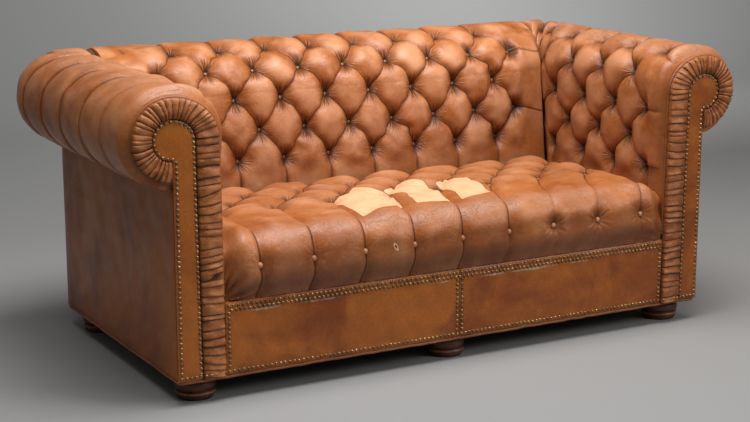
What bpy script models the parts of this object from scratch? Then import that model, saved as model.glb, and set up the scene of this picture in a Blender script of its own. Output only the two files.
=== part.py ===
"""Worn button-tufted leather sofa with rolled arms: timber frame, springs, padded covers and feet.

The frame stands on the ground plane, +X to the sitter's left as seen from the front, +Y to the rear.
Every size is in metres.
"""
import math

import bmesh
import bpy
import numpy as np

# Clearances
GAP = 0.0003
PAD_GAP = 0.0015
SEAT_PARTING = 0.005

# Overall plan of the upholstered box, measured from its front plane
BASE_HALF_WIDTH = 0.770
BASE_DEPTH = 0.780
BASE_BOTTOM = 0.0620
SEAT_LINE = 0.2380

# Rolls of the arms and the back
ROLL_RADIUS = 0.1155
ROLL_CROWN = 0.1200
ROLL_HEIGHT = 0.6350
ARM_ROLL_OVERHANG = 0.002
BACK_ROLL_INSET = 0.008
ARM_ROLL_X = BASE_HALF_WIDTH + ARM_ROLL_OVERHANG
BACK_ROLL_DEPTH = BASE_DEPTH - BACK_ROLL_INSET

# Inner faces
ARM_THICKNESS = 0.125
ARM_SEAT_TAPER = 0.005
ARM_FRAME_THICKNESS = 0.060
BACK_FOOT_THICKNESS = 0.224
BACK_HEAD_THICKNESS = 0.185
BACK_FOOT_PADDING = 0.057
BACK_HEAD_PADDING = 0.073
FACE_TUCK = 0.062
ARM_FACE_X = BASE_HALF_WIDTH - ARM_THICKNESS
ARM_FACE_SEAT_X = ARM_FACE_X + ARM_SEAT_TAPER
ARM_LINING_X = BASE_HALF_WIDTH - ARM_FRAME_THICKNESS
BACK_FACE_LOW = BACK_ROLL_DEPTH - BACK_FOOT_THICKNESS
BACK_FACE_HIGH = BACK_ROLL_DEPTH - BACK_HEAD_THICKNESS
BACK_LINING_LOW = BACK_FACE_LOW + BACK_FOOT_PADDING
BACK_LINING_HIGH = BACK_FACE_HIGH + BACK_HEAD_PADDING
FACE_BOTTOM = SEAT_LINE + FACE_TUCK

# Seat pad
SEAT_FRONT = -0.014
SEAT_THICKNESS = 0.160
SEAT_REAR_THICKNESS = 0.147
SEAT_EDGE_RADIUS = 0.063
SEAT_FRONT_PITCH = 0.140
SEAT_TOP_PITCH = 0.160
SEAT_COLUMN_INSET = 0.210
SEAT_BUTTON_RISE = 0.084
SEAT_FIRST_TUFT = 0.245
SEAT_ROW_STEP = 0.092
SEAT_TUFT_ROWS = 3
SEAT_CORNER_RADIUS = 0.045
SEAT_CORNER_DROP = 0.030
SEAT_TOP = SEAT_LINE + SEAT_THICKNESS
SEAT_TOP_REAR = SEAT_LINE + SEAT_REAR_THICKNESS
SEAT_HALF_WIDTH = ARM_FACE_X - SEAT_PARTING
SEAT_REAR = BACK_FACE_LOW - 2.0 * SEAT_PARTING
SEAT_FIRST_COLUMN = SEAT_COLUMN_INSET - BASE_HALF_WIDTH

# Button tufting
BACK_PITCH = 0.138
ARM_PITCH = 0.143
ROW_STEP = 0.078
ROLL_ROW_STEP = 0.095
LOW_ROWS = 2
BACK_ROW_RISE = 0.068
ARM_ROW_RISE = 0.045
ARM_FIRST_BUTTON = 0.098
LAST_ROW = 4
TUFT_DEPTH = 0.020
TUFT_CREASE_RISE = 0.009
TUFT_PUFF = 0.018
PUFF_POWER = 0.45
PLEAT_KEEP = 0.40
COLUMN_SAMPLES = 6
ROW_SAMPLES = 3
PLEAT_SAMPLES = 8
BACK_FIRST_ROW = SEAT_TOP_REAR + BACK_ROW_RISE
ARM_FIRST_ROW = SEAT_TOP_REAR + ARM_ROW_RISE

# Rear corner, where the arm cover turns round a vertical crease
CREASE_INSET_X = 0.0917
CREASE_INSET_DEPTH = 0.112
CORNER_INNER = 0.005
CORNER_MITRE = 0.050
CORNER_PARTING = 0.012
CORNER_ROUND = 0.012
CORNER_AXIS_POWER = 9.0
CORNER_OUTER_POWER = 3.7
CORNER_STEPS = 9
CORNER_PLEAT_RADIUS = 0.20
CREASE_X = ARM_ROLL_X - CREASE_INSET_X
CREASE_DEPTH = BACK_ROLL_DEPTH - CREASE_INSET_DEPTH
BACK_END_COLUMN = int(CREASE_X / BACK_PITCH)

# Arm fronts
SCROLL_RADIUS = 0.098
SCROLL_BAND = 0.050
STEM_BAND = 0.061
FACING_HEAD_WIDTH = 0.116
FACING_FOOT_WIDTH = 0.122
BOARD_FRONT = 0.0030
BOARD_BACK = 0.0120
PANEL_FRONT = -0.0020
BAND_CROWN = 0.0100
BAND_DIP = 0.0035
BAND_GATHER = 0.0200
ROLL_SWELL = 0.028
PIPING_RADIUS = 0.0036
PIPING_DEPTH = 0.0075
FACING_INNER_X = BASE_HALF_WIDTH - FACING_HEAD_WIDTH
FACING_FOOT_X = BASE_HALF_WIDTH - FACING_FOOT_WIDTH
ROLL_START = BOARD_BACK + GAP

# Base
APRON_BACK = 0.0127
RAIL_THICKNESS = 0.028
SKIN_THICKNESS = 0.005
WELT_RADIUS = 0.0040
WELT_CORNER = 0.006
DUST_COVER_THICKNESS = 0.0015
STRETCHER_HALF_WIDTH = 0.020
STRETCHER_DROP = 0.038

# Upper frame
POST_THICKNESS = 0.055
POST_LENGTH = 0.070
ARM_POST_LENGTH = 0.080
ARM_POST_SETBACK = 0.027
RAIL_HALF_WIDTH = 0.030
ROLL_RAIL_DROP = 0.045
ROLL_RAIL_RISE = 0.055
BACK_POST_INSET = 0.060
BACK_POST_HALF_WIDTH = 0.025
BACK_POST_LENGTH = 0.024
CORNER_POST_LENGTH = 0.085
CORNER_POST_DROP = 0.0075
TACKING_HEIGHT = 0.040
TACKING_WIDTH = 0.045
TACKING_DEPTH = 0.055
POST_INNER_X = BASE_HALF_WIDTH - POST_THICKNESS
TACKING_INNER_X = POST_INNER_X - TACKING_DEPTH
ROLL_RAIL_BOTTOM = ROLL_HEIGHT - ROLL_RAIL_DROP
ROLL_RAIL_TOP = ROLL_HEIGHT + ROLL_RAIL_RISE
ARM_POST_FRONT = BACK_FACE_LOW + ARM_POST_SETBACK
ARM_POST_REAR = ARM_POST_FRONT + ARM_POST_LENGTH

# Springs
SPRING_SPACING = 0.138
SPRING_WIRE_RADIUS = 0.0020
SPRING_HALF_WIDTH = 0.024
SPRING_LOOPS = 12
SPRING_TURN = 0.08
SPRING_COUNT = 2 * int(SEAT_HALF_WIDTH / SPRING_SPACING) + 1

# Feet
FOOT_INSET = 0.070
FOOT_STEPS = 14
FOOT_X = BASE_HALF_WIDTH - FOOT_INSET
FOOT_HEIGHT = BASE_BOTTOM - DUST_COVER_THICKNESS - 2.0 * GAP
FOOT_PROFILE = (
    (0.036, 1.00),
    (0.041, 0.90),
    (0.049, 0.72),
    (0.050, 0.52),
    (0.046, 0.36),
    (0.049, 0.25),
    (0.046, 0.12),
    (0.042, 0.00),
)

# The origin lies in the middle between the seat's front and the back roll's far side
FRONT_Y = -(BACK_ROLL_DEPTH + ROLL_RADIUS + SEAT_FRONT) / 2.0


def front(depth):
    """Return the Y place of a depth that is measured back from the front plane."""
    return FRONT_Y + depth


def smooth(low, high, value):
    """Ease from 0 at low to 1 at high."""
    t = np.clip((value - low) / (high - low), 0.0, 1.0)
    return t * t * (3.0 - 2.0 * t)


def make_material(name, colour, roughness, metallic=0.0):
    """Return a Principled material with the given colour and finish."""
    material = bpy.data.materials.new(name)
    material.use_nodes = True
    shader = material.node_tree.nodes["Principled BSDF"]
    shader.inputs["Base Color"].default_value = (*colour, 1.0)
    shader.inputs["Roughness"].default_value = roughness
    shader.inputs["Metallic"].default_value = metallic
    material.diffuse_color = (*colour, 1.0)
    return material


def add_object(name, data, material):
    """Link a mesh or curve as a named object of the sofa."""
    thing = bpy.data.objects.new(name, data)
    data.materials.append(material)
    bpy.data.collections["worn_leather_sofa"].objects.link(thing)
    return thing


def shade(mesh, degrees=40.0):
    """Shade a mesh smooth, apart from its sharp edges."""
    mesh.shade_smooth()
    mesh.set_sharp_from_angle(angle=math.radians(degrees))


def add_box(name, low, high, material):
    """Make a sawn board from its lowest to its highest corner."""
    size = [h - l for l, h in zip(low, high)]
    mesh = bpy.data.meshes.new(name)
    work = bmesh.new()
    bmesh.ops.create_cube(work, size=1.0)
    bmesh.ops.scale(work, vec=size, verts=work.verts)
    work.to_mesh(mesh)
    work.free()
    thing = add_object(name, mesh, material)
    thing.location = [(l + h) / 2.0 for l, h in zip(low, high)]
    return thing


def mirrored(side, low, high):
    """Return a box's corners on the given side of the middle plane."""
    if side > 0:
        return low, high
    return (-high[0], low[1], low[2]), (-low[0], high[1], high[2])


def loft(name, ribs, heights, material, flip=False):
    """Skin closed ribs with equal counts of points, cap both ends, and split tufted quads along valleys.

    heights holds one row of surface heights for each rib, for the rib's first points.
    """
    work = bmesh.new()
    rows = [[work.verts.new(point) for point in rib] for rib in ribs]
    count = len(ribs[0])
    tufted = len(heights[0]) - 1
    for i in range(len(rows) - 1):
        for j in range(count):
            k = (j + 1) % count
            a, b, c, d = rows[i][j], rows[i][k], rows[i + 1][k], rows[i + 1][j]
            if j >= tufted:
                work.faces.new((a, b, c, d))
                continue
            rising = heights[i][j] + heights[i + 1][k]
            falling = heights[i][k] + heights[i + 1][j]
            if rising <= falling:
                work.faces.new((a, b, c))
                work.faces.new((a, c, d))
            else:
                work.faces.new((a, b, d))
                work.faces.new((b, c, d))
    work.faces.new(list(reversed(rows[0])))
    work.faces.new(rows[-1])
    if flip:
        bmesh.ops.reverse_faces(work, faces=work.faces)
    mesh = bpy.data.meshes.new(name)
    work.to_mesh(mesh)
    work.free()
    shade(mesh)
    return add_object(name, mesh, material)


def diamond(column, row, last_row):
    """Height of the leather over a lattice of buttons.

    column counts pitches and row counts rows; a button sits where both column + row / 2 and
    column - row / 2 are whole. Outside the rows the section of the edge row goes on as pleats.
    """
    row = np.clip(row, 0.0, last_row)
    rising = (column + row / 2.0) % 1.0
    falling = (column - row / 2.0) % 1.0
    a = 4.0 * rising * (1.0 - rising)
    b = 4.0 * falling * (1.0 - falling)
    crease = 1.0 - (1.0 - a) * (1.0 - b)
    return TUFT_CREASE_RISE * crease + TUFT_PUFF * (a * b) ** PUFF_POWER - TUFT_DEPTH


def row_arc(row):
    """Length along a cover's section from its first tuft row to the given row."""
    return ROW_STEP * min(row, LOW_ROWS) + ROLL_ROW_STEP * max(row - LOW_ROWS, 0.0)


def arc_row(arc):
    """Tuft row at a length along a cover's section."""
    low = LOW_ROWS * ROW_STEP
    if arc <= low:
        return arc / ROW_STEP
    return LOW_ROWS + (arc - low) / ROLL_ROW_STEP


def section_arcs(first_row, inner_reach):
    """Lengths along a cover's section at which its points lie, from the face's bottom to the roll's end."""
    face = ROLL_HEIGHT - first_row
    crown = math.pi / 2.0 * (inner_reach + ROLL_CROWN) / 2.0
    end = face + crown + math.pi * ROLL_RADIUS
    arcs = [FACE_BOTTOM - first_row, (FACE_BOTTOM - first_row) / 2.0]
    arcs += [row_arc(step / ROW_SAMPLES) for step in range(LAST_ROW * ROW_SAMPLES + 1)]
    rest = end - arcs[-1]
    arcs += [arcs[-1] + rest * (step + 1) / PLEAT_SAMPLES for step in range(PLEAT_SAMPLES)]
    return arcs


def section_point(arc, first_row, nominal_reach, low, high, centre, outer):
    """Point of a cover's section: reach and height at a length along it.

    low and high are the face's reach at its bottom and at the roll's axis height, centre is the
    roll's axis and outer its far side.
    """
    face = ROLL_HEIGHT - first_row
    crown = math.pi / 2.0 * (nominal_reach + ROLL_CROWN) / 2.0
    if arc <= face:
        share = (first_row + arc - FACE_BOTTOM) / (ROLL_HEIGHT - FACE_BOTTOM)
        return low + (high - low) * share, first_row + arc
    if arc <= face + crown:
        turn = (arc - face) / crown * math.pi / 2.0
        return centre - (centre - high) * math.cos(turn), ROLL_HEIGHT + ROLL_CROWN * math.sin(turn)
    turn = min((arc - face - crown) / ROLL_RADIUS, math.pi)
    rise = ROLL_CROWN if turn < math.pi / 2.0 else ROLL_RADIUS
    return centre + (outer - centre) * math.sin(turn), ROLL_HEIGHT + rise * math.cos(turn)


def section(arcs, heights, first_row, nominal_reach, low, high, centre, outer):
    """Section of a cover with its heights laid on along the normal."""
    step = 0.002
    points = []
    for arc, height in zip(arcs, heights):
        before = section_point(arc - step, first_row, nominal_reach, low, high, centre, outer)
        after = section_point(arc + step, first_row, nominal_reach, low, high, centre, outer)
        here = section_point(arc, first_row, nominal_reach, low, high, centre, outer)
        along = (after[0] - before[0], after[1] - before[1])
        length = math.hypot(*along) or 1.0
        points.append((here[0] - along[1] / length * height, here[1] + along[0] / length * height))
    points[0] = (points[0][0], FACE_BOTTOM)
    points[-1] = (centre, ROLL_HEIGHT - ROLL_RADIUS)
    return points


def channel(lining_low, lining_high, centre):
    """Inner side of a cover's section, from the roll's underside round the rail and down the lining."""
    near = centre - RAIL_HALF_WIDTH - GAP
    far = centre + RAIL_HALF_WIDTH + GAP
    return [
        (centre, ROLL_RAIL_BOTTOM - 0.045),
        (far, ROLL_RAIL_BOTTOM),
        (far, ROLL_RAIL_TOP + GAP),
        (near, ROLL_RAIL_TOP + GAP),
        (near, ROLL_RAIL_BOTTOM),
        (lining_high, ROLL_RAIL_BOTTOM),
        (lining_low, FACE_BOTTOM),
    ]


def pleat_fade(arc, first_row):
    """Share of the tufting's depth that is left at a length along the section."""
    top = row_arc(LAST_ROW)
    return 1.0 - (1.0 - PLEAT_KEEP) * smooth(top, top + 2.0 * ROLL_RADIUS, arc)


def build_back_pad(material):
    """Make the inside back: tufted face, roll, and pleats behind, as one padded cover."""
    reach = BACK_ROLL_DEPTH - BACK_FACE_HIGH
    arcs = section_arcs(BACK_FIRST_ROW, reach)
    step = BACK_PITCH / COLUMN_SAMPLES
    half = CREASE_X - PAD_GAP
    inner = int(half / step)
    places = [-half] + [step * i for i in range(-inner, inner + 1)] + [half]
    last = BACK_END_COLUMN
    ribs = []
    heights = []
    for x in places:
        row_heights = []
        for arc in arcs:
            row = arc_row(arc)
            column = x / BACK_PITCH
            held = max(-last, min(last, column))
            free = smooth(LAST_ROW - 1.0, LAST_ROW, row)
            column = held + (column - held) * free
            height = diamond(column + 0.5, row, LAST_ROW) * pleat_fade(arc, BACK_FIRST_ROW)
            height -= max(height, 0.0) * smooth(last * BACK_PITCH, ARM_FACE_X, abs(x))
            corner = smooth(half - 2.0 * CORNER_ROUND, half, abs(x)) * smooth(SEAT_TOP_REAR, BACK_FIRST_ROW, arc)
            row_heights.append(height - CORNER_ROUND * corner)
        mitre = CORNER_MITRE * max(abs(x) - ARM_FACE_X, 0.0) / (CREASE_X - ARM_FACE_X)
        points = section(
            arcs, row_heights, BACK_FIRST_ROW, reach,
            BACK_FACE_LOW + mitre, BACK_FACE_HIGH + mitre, BACK_ROLL_DEPTH, BACK_ROLL_DEPTH + ROLL_RADIUS,
        )
        points += channel(BACK_LINING_LOW, BACK_LINING_HIGH, BACK_ROLL_DEPTH)
        ribs.append([(x, front(depth), height) for depth, height in points])
        heights.append(row_heights)
    return loft("back_pad", ribs, heights, material, flip=True)


def corner_reach(along_x, along_y, angle, power):
    """Distance from the crease to a rounded outline that passes along_x and along_y on its two sides."""
    return ((math.cos(angle) / along_x) ** power + (math.sin(angle) / along_y) ** power) ** (-1.0 / power)


def build_arm_pad(name, side, material):
    """Make an inside arm: tufted face, roll, pleats outside, turned round the rear corner."""
    reach = ARM_ROLL_X - ARM_FACE_X
    arcs = section_arcs(ARM_FIRST_ROW, reach)
    step = ARM_PITCH / COLUMN_SAMPLES
    depths = [ROLL_START, ROLL_START + 0.008]
    depth = ARM_FIRST_BUTTON - 2.0 * step
    while depth < CREASE_DEPTH - 0.5 * step:
        depths.append(depth)
        depth += step
    stations = [(d, 0.0) for d in depths]
    stations += [(CREASE_DEPTH, math.pi / 2.0 * i / CORNER_STEPS) for i in range(CORNER_STEPS + 1)]
    axis_x = ARM_ROLL_X - CREASE_X
    axis_y = BACK_ROLL_DEPTH - CREASE_DEPTH
    ribs = []
    heights = []
    for depth, angle in stations:
        swell = 2.0 * smooth(ROLL_START - ROLL_SWELL, ROLL_START + ROLL_SWELL, depth) - 1.0
        swell = SCROLL_RADIUS / ROLL_RADIUS + (1.0 - SCROLL_RADIUS / ROLL_RADIUS) * swell
        parting = depth + CORNER_PARTING
        turned = min(max((parting - BACK_FACE_LOW) / CORNER_MITRE, 0.0), 1.0)
        low = ARM_FACE_SEAT_X + (CREASE_X + CORNER_INNER - ARM_FACE_SEAT_X) * turned
        turned = min(max((parting - BACK_FACE_HIGH) / CORNER_MITRE, 0.0), 1.0)
        face_x = ARM_FACE_X + (FACING_INNER_X - ARM_FACE_X) * (1.0 - smooth(ROLL_START, ROLL_START + ROLL_SWELL, depth))
        high = face_x + (CREASE_X + CORNER_INNER - face_x) * turned
        centre = corner_reach(axis_x, axis_y, angle, CORNER_AXIS_POWER)
        outer = corner_reach(axis_x + ROLL_RADIUS, axis_y + ROLL_RADIUS, angle, CORNER_OUTER_POWER)
        outer = centre + (outer - centre) * swell
        row_heights = []
        for arc in arcs:
            row = arc_row(arc)
            free = smooth(LAST_ROW - 1.0, LAST_ROW, row)
            column = (depth + angle * CORNER_PLEAT_RADIUS - ARM_FIRST_BUTTON) / ARM_PITCH
            held = max(0.0, column)
            column = held + (column - held) * free
            keep = pleat_fade(arc, ARM_FIRST_ROW)
            height = diamond(column, row, LAST_ROW) * keep
            height -= max(height, 0.0) * smooth(BACK_FACE_LOW - CORNER_MITRE, BACK_FACE_LOW, depth) * (1.0 - free)
            edge = smooth(ROLL_START, ROLL_START + ROLL_SWELL, depth)
            calm = 1.0 - smooth(BACK_FACE_HIGH, CREASE_DEPTH, depth) * (1.0 - free)
            row_heights.append(height * edge * calm)
        points = section(
            arcs, row_heights, ARM_FIRST_ROW, reach,
            low - CREASE_X, high - CREASE_X, centre, outer,
        )
        points = [(r, ROLL_HEIGHT + (z - ROLL_HEIGHT) * (swell if z > ROLL_HEIGHT else 1.0)) for r, z in points]
        points += channel(ARM_LINING_X - CREASE_X, ARM_LINING_X - CREASE_X, centre)
        rib = []
        for out, height in points:
            x = CREASE_X + out * math.cos(angle)
            y = front(depth + out * math.sin(angle))
            rib.append((side * x, y, height))
        ribs.append(rib)
        heights.append(row_heights)
    return loft(name, ribs, heights, material, flip=side < 0)


def seat_point(arc):
    """Depth and height of the seat's section at a length from the bottom of its front."""
    straight = SEAT_TOP - SEAT_EDGE_RADIUS - SEAT_LINE
    turn = math.pi / 2.0 * SEAT_EDGE_RADIUS
    if arc <= straight:
        return SEAT_FRONT, SEAT_LINE + arc
    if arc <= straight + turn:
        angle = (arc - straight) / SEAT_EDGE_RADIUS
        depth = SEAT_FRONT + SEAT_EDGE_RADIUS * (1.0 - math.cos(angle))
        return depth, SEAT_TOP - SEAT_EDGE_RADIUS * (1.0 - math.sin(angle))
    depth = SEAT_FRONT + SEAT_EDGE_RADIUS + arc - straight - turn
    drop = (SEAT_TOP - SEAT_TOP_REAR) * smooth(SEAT_FIRST_TUFT, SEAT_REAR, depth)
    return depth, SEAT_TOP - drop


def build_seat_pad(material):
    """Make the seat: buttoned front with pleats over its edge, and a tufted top."""
    straight = SEAT_TOP - SEAT_EDGE_RADIUS - SEAT_LINE
    turn = math.pi / 2.0 * SEAT_EDGE_RADIUS
    total = straight + turn + SEAT_REAR - SEAT_FRONT - SEAT_EDGE_RADIUS
    first = straight + turn + SEAT_FIRST_TUFT - SEAT_FRONT - SEAT_EDGE_RADIUS
    button = SEAT_BUTTON_RISE
    arcs = [GAP, 0.5 * button, button]
    arcs += [button + (first - button) * i / 10.0 for i in range(1, 11)]
    while arcs[-1] + 0.5 * SEAT_ROW_STEP / ROW_SAMPLES < total:
        arcs.append(min(arcs[-1] + SEAT_ROW_STEP / ROW_SAMPLES, total))
    arcs[-1] = total
    step = SEAT_TOP_PITCH / COLUMN_SAMPLES
    places = list(np.linspace(-SEAT_HALF_WIDTH, SEAT_HALF_WIDTH, 2 * round(SEAT_HALF_WIDTH / step) + 1))
    ribs = []
    heights = []
    for x in places:
        row_heights = []
        points = []
        for arc in arcs:
            row = (arc - first) / SEAT_ROW_STEP
            lean = smooth(button, first, arc)
            pitch = SEAT_FRONT_PITCH + (SEAT_TOP_PITCH - SEAT_FRONT_PITCH) * lean
            column = (x - SEAT_FIRST_COLUMN) / pitch
            height = diamond(column, row, SEAT_TUFT_ROWS)
            keep = 0.55 + 0.35 * smooth(0.5 * first, first, arc)
            dimple = math.exp(-((arc - button) / 0.02) ** 2)
            whole = abs(column - round(column)) * pitch
            dent = 0.006 * dimple * math.exp(-(whole / 0.015) ** 2)
            row_heights.append(height * keep - dent)
        edge = 1.0 - smooth(0.0, SEAT_CORNER_RADIUS, SEAT_HALF_WIDTH - abs(x))
        for arc, height in zip(arcs, row_heights):
            before = seat_point(max(arc - 0.002, 0.0))
            after = seat_point(arc + 0.002)
            along = (after[0] - before[0], after[1] - before[1])
            length = math.hypot(*along)
            here = seat_point(arc)
            sink = height - SEAT_CORNER_DROP * edge * smooth(0.0, button, arc)
            if arc == GAP:
                sink = min(sink, 0.0)
            points.append((here[0] - along[1] / length * sink, here[1] + along[0] / length * sink))
        points[0] = (points[0][0], SEAT_LINE + GAP)
        rear = points[-1][0]
        points.append((rear, SEAT_LINE + GAP))
        ribs.append([(x, front(depth), height) for depth, height in points])
        heights.append(row_heights)
    return loft("seat_pad", ribs, heights, material, flip=True)


def scroll_outline(inset, steps=20):
    """Front outline of an arm from its inner foot over the scroll to its outer foot, moved inwards.

    inset is a pair: the distance from the outline round the scroll and along the stem's inner edge.
    """
    round_inset, stem_inset = inset
    crown = SCROLL_RADIUS - round_inset
    reach = ARM_ROLL_X - FACING_INNER_X - stem_inset
    points = [(FACING_FOOT_X + stem_inset, BASE_BOTTOM)]
    rise = ROLL_HEIGHT - BASE_BOTTOM
    for i in range(1, 3):
        share = i / 2.0
        points.append((points[0][0] + (FACING_INNER_X - FACING_FOOT_X) * share, BASE_BOTTOM + rise * share))
    for i in range(1, steps + 1):
        turn = math.pi * 1.5 * i / steps
        span = reach if turn < math.pi / 2.0 else crown
        points.append((ARM_ROLL_X - span * math.cos(turn), ROLL_HEIGHT + crown * math.sin(turn)))
    return points


def add_plate(name, outline, back, thickness, side, material):
    """Make a flat plate from an outline in the XZ plane, its back face at the given depth."""
    data = bpy.data.curves.new(name, "CURVE")
    data.dimensions = "2D"
    data.fill_mode = "BOTH"
    data.extrude = thickness / 2.0
    spline = data.splines.new("POLY")
    spline.points.add(len(outline) - 1)
    for point, (x, z) in zip(spline.points, outline):
        point.co = (side * x, z, 0.0, 1.0)
    spline.use_cyclic_u = True
    thing = add_object(name, data, material)
    thing.rotation_euler = (math.pi / 2.0, 0.0, 0.0)
    thing.location = (0.0, front(back - thickness / 2.0), 0.0)
    return thing


def add_wire(name, points, radius, material, cyclic=False, resolution=2):
    """Make a round wire or piping along the given points."""
    data = bpy.data.curves.new(name, "CURVE")
    data.dimensions = "3D"
    data.bevel_depth = radius
    data.bevel_resolution = resolution
    data.use_fill_caps = True
    spline = data.splines.new("POLY")
    spline.points.add(len(points) - 1)
    for point, place in zip(spline.points, points):
        point.co = (*place, 1.0)
    spline.use_cyclic_u = cyclic
    return add_object(name, data, material)


def build_arm_front(label, side, leather, band_leather, piping, timber):
    """Make one arm's facing board, plain panel, ruched band and piping."""
    board = scroll_outline((PIPING_RADIUS, PIPING_RADIUS))
    board.append((BASE_HALF_WIDTH - PIPING_RADIUS, board[-1][1]))
    board.append((BASE_HALF_WIDTH - PIPING_RADIUS, BASE_BOTTOM))
    add_plate(label + "_facing_board", board, BOARD_BACK, BOARD_BACK - BOARD_FRONT, side, timber)

    inner = scroll_outline((SCROLL_BAND + GAP, STEM_BAND + GAP))
    joint = ROLL_HEIGHT - SCROLL_RADIUS
    panel = inner[:-1] + [
        (ARM_ROLL_X - GAP, inner[-1][1]),
        (ARM_ROLL_X - GAP, joint),
        (BASE_HALF_WIDTH, joint - 0.003),
        (BASE_HALF_WIDTH, BASE_BOTTOM),
    ]
    thickness = BOARD_FRONT - GAP - PANEL_FRONT
    add_plate(label + "_facing_panel", panel, BOARD_FRONT - GAP, thickness, side, leather)

    build_band(label + "_ruched_band", side, band_leather)
    seam = scroll_outline((0.0, 0.0), 28)
    seam = [(side * x, front(PIPING_DEPTH), z) for x, z in seam]
    seam[0] = (seam[0][0], seam[0][1], SEAT_LINE + PIPING_RADIUS)
    add_wire(label + "_arm_piping", seam, PIPING_RADIUS - GAP, piping, resolution=1)


def band_stations():
    """Outer and inner edge points of the ruched band at each gather and each valley between."""
    fine = 400
    outer = np.array(scroll_outline((GAP, GAP), fine))
    inner = np.array(scroll_outline((SCROLL_BAND, STEM_BAND), fine))
    middle = (outer + inner) / 2.0
    lengths = np.concatenate(([0.0], np.cumsum(np.linalg.norm(np.diff(middle, axis=0), axis=1))))
    count = 2 * round(lengths[-1] / BAND_GATHER)
    marks = np.linspace(0.0, lengths[-1], count + 1)
    pairs = []
    for mark in marks:
        edge = [float(np.interp(mark, lengths, outer[:, i])) for i in range(2)]
        core = [float(np.interp(mark, lengths, inner[:, i])) for i in range(2)]
        pairs.append((edge, core))
    return pairs


def build_band(name, side, material):
    """Make the gathered band that runs up the stem and round the scroll."""
    back = BOARD_FRONT - GAP
    ribs = []
    heights = []
    for index, (edge, core) in enumerate(band_stations()):
        crown = BAND_CROWN if index % 2 else BAND_CROWN - BAND_DIP
        section_points = [
            (0.0, back),
            (0.0, back - 0.45 * crown),
            (0.25, back - 0.95 * crown),
            (0.75, back - 0.95 * crown),
            (1.0, back - 0.45 * crown),
            (1.0, back),
        ]
        rib = []
        for share, depth in section_points:
            x = edge[0] + (core[0] - edge[0]) * share
            z = edge[1] + (core[1] - edge[1]) * share
            rib.append((side * x, front(depth), z))
        ribs.append(rib)
        heights.append([0.0])
    return loft(name, ribs, heights, material, flip=side < 0)


def build_shell(leather, plain, cambric, piping):
    """Make the aprons, outside panels, dust cover and bottom welt."""
    roll_bottom = ROLL_HEIGHT - ROLL_RADIUS
    seam = FACING_FOOT_X - GAP
    for label, side in (("left", -1), ("right", 1)):
        low, high = (GAP, front(0.0), BASE_BOTTOM), (seam, front(APRON_BACK), SEAT_LINE)
        add_box(label + "_apron_panel", *mirrored(side, low, high), leather)
        low = (BASE_HALF_WIDTH - SKIN_THICKNESS, front(BOARD_BACK + GAP), BASE_BOTTOM)
        high = (BASE_HALF_WIDTH, front(BASE_DEPTH), roll_bottom - GAP)
        add_box(label + "_outside_arm", *mirrored(side, low, high), plain)
    half = BASE_HALF_WIDTH - SKIN_THICKNESS - GAP
    low = (-half, front(BASE_DEPTH - SKIN_THICKNESS), BASE_BOTTOM)
    add_box("outside_back", low, (half, front(BASE_DEPTH), roll_bottom - GAP), plain)

    top = BASE_BOTTOM - GAP
    edge = 2.0 * WELT_RADIUS + WELT_CORNER
    half = BASE_HALF_WIDTH - edge
    low = (-half, front(edge), top - DUST_COVER_THICKNESS)
    add_box("dust_cover", low, (half, front(BASE_DEPTH - edge), top), cambric)

    ring_x = BASE_HALF_WIDTH - WELT_RADIUS
    near, far = front(WELT_RADIUS), front(BASE_DEPTH - WELT_RADIUS)
    height = BASE_BOTTOM - GAP - WELT_RADIUS
    corners = []
    for x, y in ((-ring_x, near), (ring_x, near), (ring_x, far), (-ring_x, far)):
        inward_x = -math.copysign(WELT_CORNER, x)
        inward_y = WELT_CORNER if y == near else -WELT_CORNER
        pair = [(x, y + inward_y, height), (x + inward_x, y, height)]
        first = (x > 0) == (y == near)
        corners += list(reversed(pair)) if first else pair
    add_wire("bottom_welt", corners, WELT_RADIUS, piping, cyclic=True)


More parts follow.
